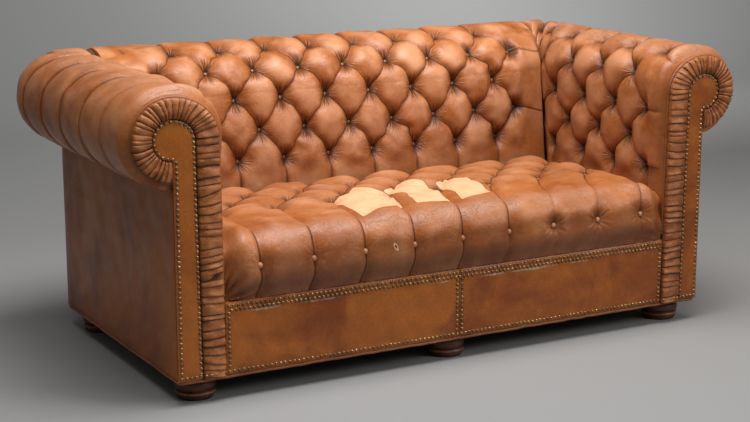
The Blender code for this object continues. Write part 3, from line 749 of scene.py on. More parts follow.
@dataclass(frozen=True)
class Wood:
    """Timber with grain, polished or sawn."""

    name: str
    light: Colour
    dark: Colour
    roughness: float
    scuffed: bool = False
    bead_wear_and_highlight: Colour = tone(140, 96, 72)

    def build(self) -> bpy.types.Material:
        """Make the material, paler where the field rim is high if it is scuffed: a painted highlight on the
        bead, together with scuff wear.

        Returns:
            The material.
        """
        graph = Graph(self.name)
        grain = graph.noise(14.0, 6.0, 0.65, 1.5, graph.stretched(1.0, 1.0, 9.0))
        colour = graph.blend(self.light, self.dark, grain.eased(0.35, 0.65))
        if self.scuffed:
            # Painted highlight on the bead, mixed with scuff wear.
            wear = (graph.field("rim") + (graph.noise(60.0, 5.0, 0.7) - 0.5)).eased(0.55, 0.95)
            colour = graph.blend(colour, self.bead_wear_and_highlight, wear * 0.8)
        return graph.finish(colour, grain * 0.2 + self.roughness, grain * 0.0003)


@dataclass(frozen=True)
class Cloth:
    """Black cambric under the sofa, woven thread by thread."""

    name: str
    ground: Colour = tone(24, 23, 22)
    thread: Colour = tone(52, 48, 44)
    threads: float = 320.0

    def build(self) -> bpy.types.Material:
        """Make the material.

        Returns:
            The material.
        """
        graph = Graph(self.name)
        sockets = {"Vector": graph.place, "Scale": self.threads}
        across, along = (
            graph.value("ShaderNodeTexWave", {"bands_direction": axis}, sockets, "Fac") for axis in ("X", "Y")
        )
        weave = across * along
        colour = graph.blend(self.ground, self.thread, weave * 0.6 + graph.noise(20.0) * 0.3)
        return graph.finish(colour, 0.9, weave * 0.0003)


@dataclass(frozen=True)
class Finishes:
    """All the sofa's materials."""

    tufted: bpy.types.Material
    ruched: bpy.types.Material
    plain: bpy.types.Material
    piping: bpy.types.Material
    brass: bpy.types.Material
    timber: bpy.types.Material
    foot: bpy.types.Material
    steel: bpy.types.Material
    cambric: bpy.types.Material

    @classmethod
    def make(cls) -> "Finishes":
        """Build every finish once.

        Returns:
            The finishes.
        """
        return cls(
            tufted=TuftedLeather(
                "tufted_tan_leather", tone(170, 99, 48), tone(149, 79, 32), tone(200, 140, 100),
                tone(66, 26, 7), roughness=0.38, wrinkle=0.0003,
            ).build(),
            # The ruched band's seam tone is the painted shade along its folds.
            ruched=TuftedLeather(
                "ruched_brown_leather", tone(150, 84, 36), tone(124, 64, 26), tone(190, 122, 72),
                tone(50, 22, 8), roughness=0.42, grain=0.0001, wrinkle=0.0006, seam=tone(56, 25, 11),
            ).build(),
            plain=Leather(
                "plain_brown_leather", tone(166, 92, 28), tone(128, 60, 18), tone(178, 110, 42),
                tone(60, 26, 8), roughness=0.36, wrinkle=0.00015,
            ).build(),
            piping=Leather(
                "worn_piping_leather", tone(150, 88, 44), tone(120, 66, 30), tone(206, 152, 104),
                tone(60, 28, 12), roughness=0.45, wrinkle=0.0002,
            ).build(),
            brass=Metal("aged_brass", tone(164, 130, 86), tone(96, 66, 38), 0.26, 45.0).build(),
            timber=Wood("frame_beech", tone(196, 160, 116), tone(160, 118, 76), 0.6).build(),
            foot=Wood("mahogany", tone(88, 36, 18), tone(48, 18, 8), 0.38, scuffed=True).build(),
            steel=Metal("spring_wire", tone(150, 148, 144), tone(96, 90, 84), 0.35, 60.0).build(),
            cambric=Cloth("black_cambric_cloth").build(),
        )


@dataclass(frozen=True)
class Plan:
    """Driving sizes that the sofa's parts share."""

    half_width: float = 0.770
    depth: float = 0.780
    base_bottom: float = 0.062
    seat_line: float = 0.238
    roll_radius: float = 0.1155
    roll_crown: float = 0.120
    roll_height: float = 0.635
    arm_roll_x: float = 0.772
    back_roll_depth: float = 0.772
    arm_face_x: float = 0.645
    arm_face_seat_x: float = 0.650
    arm_lining_x: float = 0.710
    back_face_low: float = 0.548
    back_face_high: float = 0.587
    back_lining_low: float = 0.605
    back_lining_high: float = 0.660
    face_bottom: float = 0.300
    seat_rear_top: float = 0.385
    crease_x: float = 0.6803
    crease_depth: float = 0.660
    roll_start: float = 0.0123
    scroll_radius: float = 0.098
    facing_inner_x: float = 0.654
    facing_foot_x: float = 0.648
    rail_half_width: float = 0.0303
    roll_rail_bottom: float = 0.590
    roll_rail_top: float = 0.6903
    rail_drop: float = 0.045
    front_y: float = -0.43675

    def y(self, depth: Array | float) -> Array | float:
        """Place of a depth along Y."""
        return self.front_y + depth


@dataclass
class Relief:
    """Shape of buttoned leather at each place: height and sag in metres, and fields for its finish.

    openness runs from 0 in a crease to 1 on a crown; the finish paints shade where it is low and a highlight
    where it is high. rising and falling are whole numbers along the two sets of creases, and line says how
    sharp the creases are and how dark the painted shade along them is. across and upward run from the nearest
    button, phase is that button's own number, and hold says how tightly it holds the leather, which also sets
    the painted shade round it.
    """

    height: Array
    sag: Array
    openness: Array
    rising: Array
    falling: Array
    line: Array
    across: Array | float = 0.0
    upward: Array | float = 0.0
    phase: Array | float = 0.0
    hold: Array | float = 0.0

    def fields(
        self, inner: int, wear: Array | float = 0.0, patch: Array | float = -1.0, lower_shade: Array | float = 0.0,
    ) -> dict[str, Array]:
        """Fields of a cover's points, with the closing points of each rib filled in.

        Args:
            inner: number of closing points in a rib.
            wear: 0 to 1 where the leather is worn.
            patch: distance into a bare place.
            lower_shade: 0 to 1 where painted shade darkens the cover towards its bottom.

        Returns:
            The fields by name.
        """
        closing = {"tuft": 0.5, "rising": 0.5, "falling": 0.5, "patch": -1.0}
        values = {"tuft": self.openness, "wear": wear, "patch": patch, "lower_shade": lower_shade}
        for name in ("rising", "falling", "line", "across", "upward", "phase", "hold"):
            values[name] = getattr(self, name)
        for name, value in values.items():
            whole = np.broadcast_to(value, self.height.shape)
            values[name] = np.pad(whole, ((0, 0), (0, inner)), constant_values=closing.get(name, 0.0))
        return values


@dataclass(frozen=True)
class Lattice:
    """Rows of buttons that draw the leather down into diamonds.

    A number that ends in _power shapes a curve, and one that ends in _run is the length over which
    something eases.
    """

    pitch: float
    row_arcs: tuple[float, ...]
    seed: int
    depth: float = 0.025
    crease_rise: float = 0.015
    puff: float = 0.021
    pleat_depth: float = 0.008
    pleat_crown: float = 0.003
    edge_level: float = 0.003
    sag: float = 0.005
    bow: float = 0.012
    pleat_fade: float = 0.40
    uneven: float = 0.0007
    laps_forward: bool = True
    wander: float = 0.022
    crease_power: float = 0.72
    plump_power: float = 0.62
    rising_lean: float = 0.30
    falling_lean: float = 0.24
    variety: float = 0.16
    steep_run: float = 0.0035
    gentle_run: float = 0.022
    above_run: float = 0.070
    below_run: float = 0.050
    seam_depth: float = 0.0035
    seam_width: float = 0.0060
    hold_near: float = 0.040
    hold_far: float = 0.052

    @property
    def last_row(self) -> float:
        """Number of the top row."""
        return float(len(self.row_arcs) - 1)

    @property
    def row_step(self) -> float:
        """Length between the two lowest rows."""
        return self.row_arcs[1]

    def row(self, arc: Array) -> Array:
        """Tuft row at a length along the section.

        Args:
            arc: lengths along the section, 0 at the lowest row.

        Returns:
            The rows, which run on at an even step outside the lowest and the top one.
        """
        inside = np.interp(arc, self.row_arcs, np.arange(len(self.row_arcs)))
        below, above = np.minimum(arc, 0.0), np.maximum(arc - self.row_arcs[-1], 0.0)
        return inside + below / self.row_step + above / self.row_step

    def arc(self, row: float) -> float:
        """Length along the section of a tuft row."""
        return float(np.interp(row, np.arange(len(self.row_arcs)), self.row_arcs))

    def buttons(self, low: float, high: float, half_step: bool) -> list[tuple[float, float]]:
        """Column and row of each button between two columns.

        Args:
            low: lowest column.
            high: highest column.
            half_step: True where the even rows sit between whole columns.

        Returns:
            Pairs of column and row.
        """
        found = []
        for row in range(int(self.last_row) + 1):
            shift = 0.5 if (row % 2 == 0) == half_step else 0.0
            column = math.ceil(low - shift) + shift
            while column <= high + 1e-6:
                found.append((column, float(row)))
                column += 1.0
        return found

    def free(self, arc: Array) -> Array:
        """Share from 0 to 1 that tells the leather above the last buttons that are held."""
        return smooth(3.0, 4.0, self.row(arc))

    def fade(self, arc: Array) -> Array:
        """Share of the diamonds' depth that is left along the pleats."""
        return 1.0 - 0.35 * smooth(self.arc(4.0), self.arc(4.0) + 0.25, arc)

    def near_button(self, across: Array, upward: Array) -> Array:
        """Share from 0 to 1 that tells the leather close round a button."""
        return smooth(self.hold_far, self.hold_near, np.hypot(across, upward))

    def relief(
        self, column: Array, arc: Array, half_step: bool, keep: Array | float = 1.0,
        plain: Array | float = 0.0,
    ) -> Relief:
        """Shape of the leather over the buttons.

        Args:
            column: column at each place, in pitches.
            arc: length along the section.
            half_step: True where the even rows sit between whole columns.
            keep: share of the diamonds' depth that is left.
            plain: 1 where the leather runs plain, with only thin lines, out to its edge.

        Returns:
            The relief.
        """
        row = self.row(arc)
        held = np.clip(row, 0.0, self.last_row)
        shifted = column + (0.5 if half_step else 0.0)
        one = np.sin(math.pi * (shifted + held / 2.0)) ** 2
        two = np.sin(math.pi * (shifted - held / 2.0)) ** 2
        bowed = np.clip(held - self.bow / self.row_step * two, 0.0, self.last_row)
        wobble = self.wander * ripple(self.seed, 0.9, 0.45, column, row)
        rising = shifted + bowed / 2.0 + wobble * two
        falling = shifted - held / 2.0 + wobble * one
        cell = np.floor(rising), np.floor(falling)
        f, g = rising - cell[0], falling - cell[1]
        a, b = 4.0 * f * (1.0 - f), 4.0 * g * (1.0 - g)
        crease = (1.0 - (1.0 - a) * (1.0 - b)) ** self.crease_power
        plump = a ** (self.plump_power - self.rising_lean * f)
        plump = plump * b ** (self.plump_power - self.falling_lean * g)
        size = 1.0 + self.variety * (scatter(*cell, self.seed) - 0.5)
        height = self.crease_rise * crease + self.puff * plump * size - self.depth

        lap = f if self.laps_forward else 1.0 - f
        steep = 1.0 - np.exp(-lap * self.pitch / self.steep_run)
        ramp = steep * (1.0 - np.exp(-(1.0 - lap) * self.pitch / self.gentle_run))
        pleat = self.pleat_crown - (self.pleat_depth + self.pleat_crown) * (1.0 - ramp)
        above = np.maximum(arc - self.arc(self.last_row), 0.0)
        below = np.maximum(-arc, 0.0)
        away = np.clip(smooth(0.0, self.above_run, above) + smooth(0.0, self.below_run, below), 0.0, 1.0)
        height = height + (pleat - height) * away
        gap = np.abs(rising - np.round(rising)) * 2.0 * self.row_step
        level = self.edge_level - self.seam_depth * np.exp(-((gap / self.seam_width) ** 2)) * (1.0 - away)
        height = height + (level - height) * plain
        height = soften(height * keep)

        near_r, near_f = np.round(rising), np.round(falling)
        across = (shifted - (near_r + near_f) / 2.0) * self.pitch
        upward = (row - (near_r - near_f)) * self.row_step
        height = height + self.uneven * ripple(self.seed + 9, 0.16, 0.045, column * self.pitch, arc)
        # The finish paints shade where openness is low and a highlight where it is high.
        openness = np.clip((height + self.depth) / (self.depth + 0.010), 0.0, 1.0)
        sag = self.sag * plump * (1.0 - np.clip(away + plain, 0.0, 1.0)) * keep
        line = (0.5 + 0.5 * keep) * (1.0 - plain * (0.35 + 0.65 * away)) * (1.0 - self.pleat_fade * away)
        hold = keep * (1.0 - away) * (1.0 - plain) * self.near_button(across, upward)
        phase = scatter(near_r, near_f, self.seed + 2)
        return Relief(height, sag, openness, rising, falling, line, across, upward, phase, hold)


@dataclass(frozen=True)
class Section:
    """Section of a cover: a raked face, the crown of a roll and its outer half."""

    plan: Plan
    first_row: float
    reach: float

    @property
    def face(self) -> float:
        """Length from the first row to the roll's axis height."""
        return self.plan.roll_height - self.first_row

    @property
    def crown(self) -> float:
        """Length of the crown's inner quarter."""
        return math.pi / 2.0 * (self.reach + self.plan.roll_crown) / 2.0

    def arcs(self, step: float) -> Array:
        """Lengths along the section, at an even step.

        Args:
            step: wanted distance between points.

        Returns:
            (m,) lengths.
        """
        start = self.plan.face_bottom - self.first_row
        end = self.face + self.crown + math.pi * self.plan.roll_radius
        return np.linspace(start, end, round((end - start) / step) + 1)

    def base(self, arc: Array, low: Array, high: Array, centre: Array, outer: Array) -> Array:
        """Reach and height of the bare section.

        Args:
            arc: lengths along the section.
            low: reach of the face at its bottom.
            high: reach of the face at the roll's axis height.
            centre: reach of the roll's axis.
            outer: reach of the roll's far side.

        Returns:
            (..., 2) reach and height.
        """
        plan, still = self.plan, np.zeros_like(low)
        share = (self.first_row + arc - plan.face_bottom) / (plan.roll_height - plan.face_bottom)
        face = np.stack([low + (high - low) * share, self.first_row + arc + still], axis=-1)
        turn = (arc - self.face) / self.crown * math.pi / 2.0
        level = plan.roll_height + plan.roll_crown * np.sin(turn) + still
        crown = np.stack([centre - (centre - high) * np.cos(turn), level], axis=-1)
        turn = np.minimum((arc - self.face - self.crown) / plan.roll_radius, math.pi)
        rise = np.where(turn < math.pi / 2.0, plan.roll_crown, plan.roll_radius)
        level = plan.roll_height + rise * np.cos(turn) + still
        roll = np.stack([centre + (outer - centre) * np.sin(turn), level], axis=-1)
        on_face = (arc <= self.face)[..., None]
        on_crown = (arc <= self.face + self.crown)[..., None]
        return np.where(on_face, face, np.where(on_crown, crown, roll))

    def draped(self, arcs: Array, height: Array, sag: Array, *shape: Array) -> Array:
        """Section with the leather's relief laid on.

        Args:
            arcs: (m,) lengths along the section.
            height: (n, m) relief along the normal.
            sag: (n, m) shift down along the section.
            *shape: (n, 1) low, high, centre and outer of each rib.

        Returns:
            (n, m, 2) reach and height.
        """
        arc = np.broadcast_to(arcs, height.shape)
        along = self.base(arc + PROBE, *shape) - self.base(arc - PROBE, *shape)
        along /= np.maximum(np.linalg.norm(along, axis=-1), TINY)[..., None]
        normal = np.stack([-along[..., 1], along[..., 0]], axis=-1)
        points = self.base(arc, *shape) + normal * height[..., None] - along * sag[..., None]
        points[:, 0, 1] = self.plan.face_bottom
        points[:, -1, 0] = shape[2][:, 0]
        points[:, -1, 1] = self.plan.roll_height - self.plan.roll_radius
        return points

    def channel(self, lining_low: Array, lining_high: Array, centre: Array) -> Array:
        """Inner side of the section, round the timber rail and down the lining.

        Args:
            lining_low: (n,) reach of the lining at its bottom.
            lining_high: (n,) reach of the lining under the rail.
            centre: (n,) reach of the roll's axis.

        Returns:
            (n, 7, 2) reach and height.
        """
        plan = self.plan
        near, far = centre - plan.rail_half_width, centre + plan.rail_half_width
        low, top = plan.roll_rail_bottom, plan.roll_rail_top
        pairs = [
            (centre, low - plan.rail_drop), (far, low), (far, top), (near, top), (near, low),
            (lining_high, low), (lining_low, plan.face_bottom),
        ]
        corners = [np.stack([reach, np.full_like(centre, level)], axis=-1) for reach, level in pairs]
        return np.stack(corners, axis=1)


@dataclass(frozen=True)
class Buttons:
    """Leather-covered buttons."""

    radius: float = 0.0072
    height: float = 0.0044
    # Openness at a button's foot and its rise to the crown: they set painted shade round the foot and a
    # painted highlight on the crown.
    light: float = 0.10
    crown_light: float = 0.45
    sides: int = 16
    rings: int = 5

    def place(
        self, name: str, places: Array, normals: Array, material: bpy.types.Material,
        pale: Array | float = 0.0,
    ) -> bpy.types.Object:
        """Set buttons on a cover.

        Args:
            name: name of the piece.
            places: (n, 3) centres of their feet.
            normals: (n, 3) directions in which they stand.
            material: finish.
            pale: how much lighter each button is, by lessening its painted shade.

        Returns:
            The piece.
        """
        points, faces, share = domes(places, normals, self.radius, self.height, self.sides, self.rings)
        paler = np.repeat(pale * np.ones(len(places)), len(share) // len(places))
        none, half = np.zeros_like(share), np.full_like(share, 0.5)
        # Painted shade round the foot and painted highlight on the crown; pale lessens the shade.
        tuft = self.light + paler + self.crown_light * share
        fields = {"tuft": tuft, "wear": none, "patch": none - 1.0, "rising": half, "falling": half}
        piece = make_piece(name, points, faces, material, fields)
        return piece


def surface_frames(
    grid: Array, across: Array, along: Array, spots: list[tuple[float, float]],
    outward: tuple[float, float, float],
) -> tuple[Array, Array]:
    """Places and normals of spots on a grid of points.

    Args:
        grid: (n, m, 3) points.
        across: (n,) measure of each rib of the grid.
        along: (m,) length of each point along its rib.
        spots: measure and length of each spot.
        outward: direction to which the normals turn.

    Returns:
        (k, 3) places and (k, 3) normals of length 1.
    """
    n, m = grid.shape[:2]
    rows = np.array([np.abs(across - spot[0]).argmin() for spot in spots])
    columns = np.array([np.abs(along - spot[1]).argmin() for spot in spots])
    one = grid[np.minimum(rows + SPREAD, n - 1), columns] - grid[np.maximum(rows - SPREAD, 0), columns]
    two = grid[rows, np.minimum(columns + SPREAD, m - 1)] - grid[rows, np.maximum(columns - SPREAD, 0)]
    normals = np.cross(one, two)
    normals *= np.sign(normals @ np.array(outward))[:, None]
    return grid[rows, columns], normals / np.linalg.norm(normals, axis=1)[:, None]


@dataclass(frozen=True)
class BackCover:
    """Inside back: four rows of buttons, the roll and the pleats behind it."""

    plan: Plan
    finishes: Finishes
    step: float = 0.0037
    pitch: float = 0.138
    end_column: int = 4
    first_row: float = 0.068
    row_arcs: tuple[float, ...] = (0.0, 0.079, 0.163, 0.269, 0.358)
    seed: int = 11
    droop: float = 0.022
    mitre: float = 0.050
    parting: float = 0.0015
    corner_round: float = 0.004
    end_level: float = 0.004
    end_puff: tuple[float, float] = (0.556, 0.600)
    sink: float = 0.002
    wear: float = 0.30
    # Strength of the painted shade towards the bottom of the back.
    lower_shade: float = 0.40

    @property
    def lattice(self) -> Lattice:
        """Its buttons."""
        return Lattice(self.pitch, self.row_arcs, self.seed)

    @property
    def section(self) -> Section:
        """Its section."""
        plan = self.plan
        return Section(plan, plan.seat_rear_top + self.first_row, plan.back_roll_depth - plan.back_face_high)

    def build(self) -> None:
        """Make the cover and its buttons."""
        plan, lattice, section = self.plan, self.lattice, self.section
        half, last = plan.crease_x - self.parting, self.end_column * self.pitch
        xs = np.linspace(-half, half, round(2.0 * half / self.step) + 1)
        arcs = section.arcs(self.step)
        x, arc = np.meshgrid(xs, arcs, indexing="ij")
        out = np.abs(x)
        free = lattice.free(arc)
        held = np.clip(x / self.pitch, -self.end_column, self.end_column)
        column = held + (x / self.pitch - held) * free
        fade = lattice.fade(arc)
        plain = smooth(self.end_column + 0.05, self.end_column + 0.25, out / self.pitch) * (1.0 - free)
        hang = self.droop * smooth(last, plan.arm_face_x + 0.02, out) * (1.0 - free)
        relief = lattice.relief(column, arc + hang, True, fade, plain)
        height, sag = relief.height, relief.sag
        height -= np.maximum(height, 0.0) * smooth(last, plan.arm_face_x, out)
        end_puff = smooth(2.9, 3.3, lattice.row(arc)) * smooth(*self.end_puff, out)
        height += (self.end_level - height) * end_puff
        relief.line = relief.line * (1.0 - end_puff)
        relief.hold = relief.hold * (1.0 - end_puff)
        corner = smooth(half - 2.0 * self.corner_round, half, out)
        height -= self.corner_round * corner * smooth(plan.seat_rear_top, section.first_row, arc)
        shift = self.mitre * np.maximum(np.abs(xs) - plan.arm_face_x, 0.0) / (plan.crease_x - plan.arm_face_x)
        low, high = plan.back_face_low + shift, plan.back_face_high + shift
        centre = np.full_like(xs, plan.back_roll_depth)
        shape = [values[:, None] for values in (low, high, centre, centre + plan.roll_radius)]
        outer = section.draped(arcs, height, sag, *shape)
        linings = (np.full_like(xs, plan.back_lining_low), np.full_like(xs, plan.back_lining_high))
        inner = section.channel(*linings, centre)

        def place(points: Array) -> Array:
            """Set section points across the sofa."""
            across = np.broadcast_to(xs[:, None], points.shape[:2])
            return np.stack([across, plan.y(points[..., 0]), points[..., 1]], axis=-1)

        grid = place(outer)
        points, faces = loft(grid, height, place(inner), flip=True)
        wear = self.wear * smooth(plan.roll_height, plan.roll_height + 0.11, grid[..., 2])
        fields = relief.fields(inner.shape[1], wear, lower_shade=self.lower_shade * smooth(0.17, 0.03, arcs))
        piece = make_piece("back_cover", points, faces, self.finishes.tufted, fields)
        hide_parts("back_pad")
        found = lattice.buttons(-self.end_column, self.end_column, True)
        spots = [(column * self.pitch, lattice.arc(row)) for column, row in found]
        places, normals = surface_frames(grid, xs, arcs, spots, (0.0, -1.0, 0.5))
        Buttons().place("back_buttons", places - self.sink * normals, normals, self.finishes.tufted)


@dataclass(frozen=True)
class ArmCover:
    """Inside arm: buttons, roll and outer pleats, turned round the rear corner."""

    plan: Plan
    finishes: Finishes
    side: Side
    step: float = 0.0036
    pitch: float = 0.143
    first_button: float = 0.098
    first_row: float = 0.045
    row_arcs: tuple[float, ...] = (0.0, 0.078, 0.156, 0.254, 0.350)
    swell: float = 0.028
    mitre: float = 0.050
    parting: float = 0.002
    corner_inner: float = 0.005
    axis_power: float = 9.0
    outer_power: float = 3.7
    pleat_radius: float = 0.20
    drift: float = 0.058
    drift_length: float = 0.20
    lip: float = 0.011
    corner_length: float = 0.2
    edge_openness: float = 0.6
    sink: float = 0.002
    wear: float = 0.55
    # Strength of the painted shade over the lower part of the inside arm.
    lower_shade: float = 0.34

    @property
    def lattice(self) -> Lattice:
        """Its buttons."""
        return Lattice(self.pitch, self.row_arcs, seed=23 if self.side is Side.LEFT else 31)

    @property
    def section(self) -> Section:
        """Its section."""
        plan = self.plan
        return Section(plan, plan.seat_rear_top + self.first_row, plan.arm_roll_x - plan.arm_face_x)

    def corner_reach(self, along_x: float, along_y: float, angle: Array, power: float) -> Array:
        """Distance from the crease to a rounded outline that passes both reaches."""
        return ((np.cos(angle) / along_x) ** power + (np.sin(angle) / along_y) ** power) ** (-1.0 / power)

    def build(self) -> None:
        """Make the cover and its buttons."""
        plan, lattice, section = self.plan, self.lattice, self.section
        start, end = plan.roll_start, plan.crease_depth
        straight = np.linspace(start, end, round((end - start) / self.step) + 1)
        right = math.pi / 2.0
        turned = np.linspace(0.0, right, round(self.corner_length * right / self.step) + 1)[1:]
        depths = np.concatenate([straight, np.full(len(turned), end)])
        angles = np.concatenate([np.zeros(len(straight)), turned])
        arcs = section.arcs(self.step)
        depth, arc = np.meshgrid(depths, arcs, indexing="ij")
        angle = np.broadcast_to(angles[:, None], depth.shape)

        ease = smooth(start - self.swell, start + self.swell, depths)
        small = plan.scroll_radius / plan.roll_radius
        swell = small + (1.0 - small) * (2.0 * ease - 1.0)
        reach = depths + self.parting
        away = np.clip((reach - plan.back_face_low) / self.mitre, 0.0, 1.0)
        low = plan.arm_face_seat_x + (plan.crease_x + self.corner_inner - plan.arm_face_seat_x) * away
        away = np.clip((reach - plan.back_face_high) / self.mitre, 0.0, 1.0)
        inward = 1.0 - smooth(start, start + self.swell, depths)
        lip = self.lip * smooth(start, start + 0.012, depths) * smooth(start + 0.10, start + 0.03, depths)
        face_x = plan.arm_face_x + (plan.facing_inner_x - plan.arm_face_x) * inward - lip
        high = face_x + (plan.crease_x + self.corner_inner - face_x) * away
        axis_x, axis_y = plan.arm_roll_x - plan.crease_x, plan.back_roll_depth - plan.crease_depth
        centre = self.corner_reach(axis_x, axis_y, angles, self.axis_power)
        rims = axis_x + plan.roll_radius, axis_y + plan.roll_radius
        outer = self.corner_reach(*rims, angles, self.outer_power)
        outer = centre + (outer - centre) * swell

        free, top = lattice.free(arc), lattice.arc(4.0)
        over = smooth(top, top + self.drift_length, arc)
        column = (depth + angle * self.pleat_radius - self.first_button - self.drift * over) / self.pitch
        held = np.maximum(column, 0.0)
        column = held + (column - held) * free
        plain = smooth(-0.06, -0.22, (depth - self.first_button) / self.pitch) * (1.0 - free)
        relief = lattice.relief(column, arc, False, lattice.fade(arc), plain)
        height, sag = relief.height, relief.sag
        by_back = smooth(plan.back_face_low - self.mitre, plan.back_face_low, depth)
        height -= np.maximum(height, 0.0) * by_back * (1.0 - free)
        edge = smooth(start, start + self.swell, depth)
        calm = edge * (1.0 - smooth(plan.back_face_high, plan.crease_depth, depth) * (1.0 - free))
        height, sag = height * calm, sag * calm
        # Along the front edge the openness is set to one middling value, which leaves it without painted
        # crease shade.
        relief.openness = relief.openness * edge + self.edge_openness * (1.0 - edge)
        on_top = smooth(top - 0.02, top + 0.05, arc) * smooth(0.68, 0.58, arc)
        faint = np.exp(-((column / 0.5) ** 2)) * on_top
        height *= 1.0 - 0.7 * faint
        above_seat = smooth(-0.06, 0.0, arc + 0.05 * smooth(0.2, 0.5, column))
        relief.line = relief.line * calm * (1.0 - 0.85 * faint) * above_seat

        shape = [values[:, None] for values in (low - plan.crease_x, high - plan.crease_x, centre, outer)]
        section_points = section.draped(arcs, height, sag, *shape)
        lifted = section_points[..., 1] - plan.roll_height
        section_points[..., 1] = plan.roll_height + lifted * np.where(lifted > 0.0, swell[:, None], 1.0)
        lining = np.full_like(depths, plan.arm_lining_x - plan.crease_x)
        inner = section.channel(lining, lining, centre)

        def place(points: Array) -> Array:
            """Set section points out from the crease.

            Args:
                points: (n, k, 2) reach and height.

            Returns:
                (n, k, 3) places.
            """
            x = plan.crease_x + points[..., 0] * np.cos(angles)[:, None]
            y = plan.y(depths[:, None] + points[..., 0] * np.sin(angles)[:, None])
            return np.stack([self.side.value * x, y, points[..., 1]], axis=-1)

        grid = place(section_points)
        points, faces = loft(grid, height, place(inner), flip=self.side is Side.LEFT)
        wear = self.wear * smooth(plan.roll_height + 0.05, plan.roll_height + 0.12, grid[..., 2])
        fields = relief.fields(inner.shape[1], wear, lower_shade=self.lower_shade * smooth(0.34, 0.20, arcs))
        piece = make_piece(f"{self.side.label}_arm_cover", points, faces, self.finishes.tufted, fields)
        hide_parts(f"{self.side.label}_arm_pad")

        found = [(column, row) for column, row in lattice.buttons(0.0, 3.0, False) if row < 4.0]
        spots = [(self.first_button + column * self.pitch, lattice.arc(row)) for column, row in found]
        spots = [(depth, arc) for depth, arc in spots if depth < plan.back_face_low]
        places, normals = surface_frames(grid, straight, arcs, spots, (-float(self.side.value), 0.0, 0.5))
        label = f"{self.side.label}_arm_buttons"
        Buttons().place(label, places - self.sink * normals, normals, self.finishes.tufted)


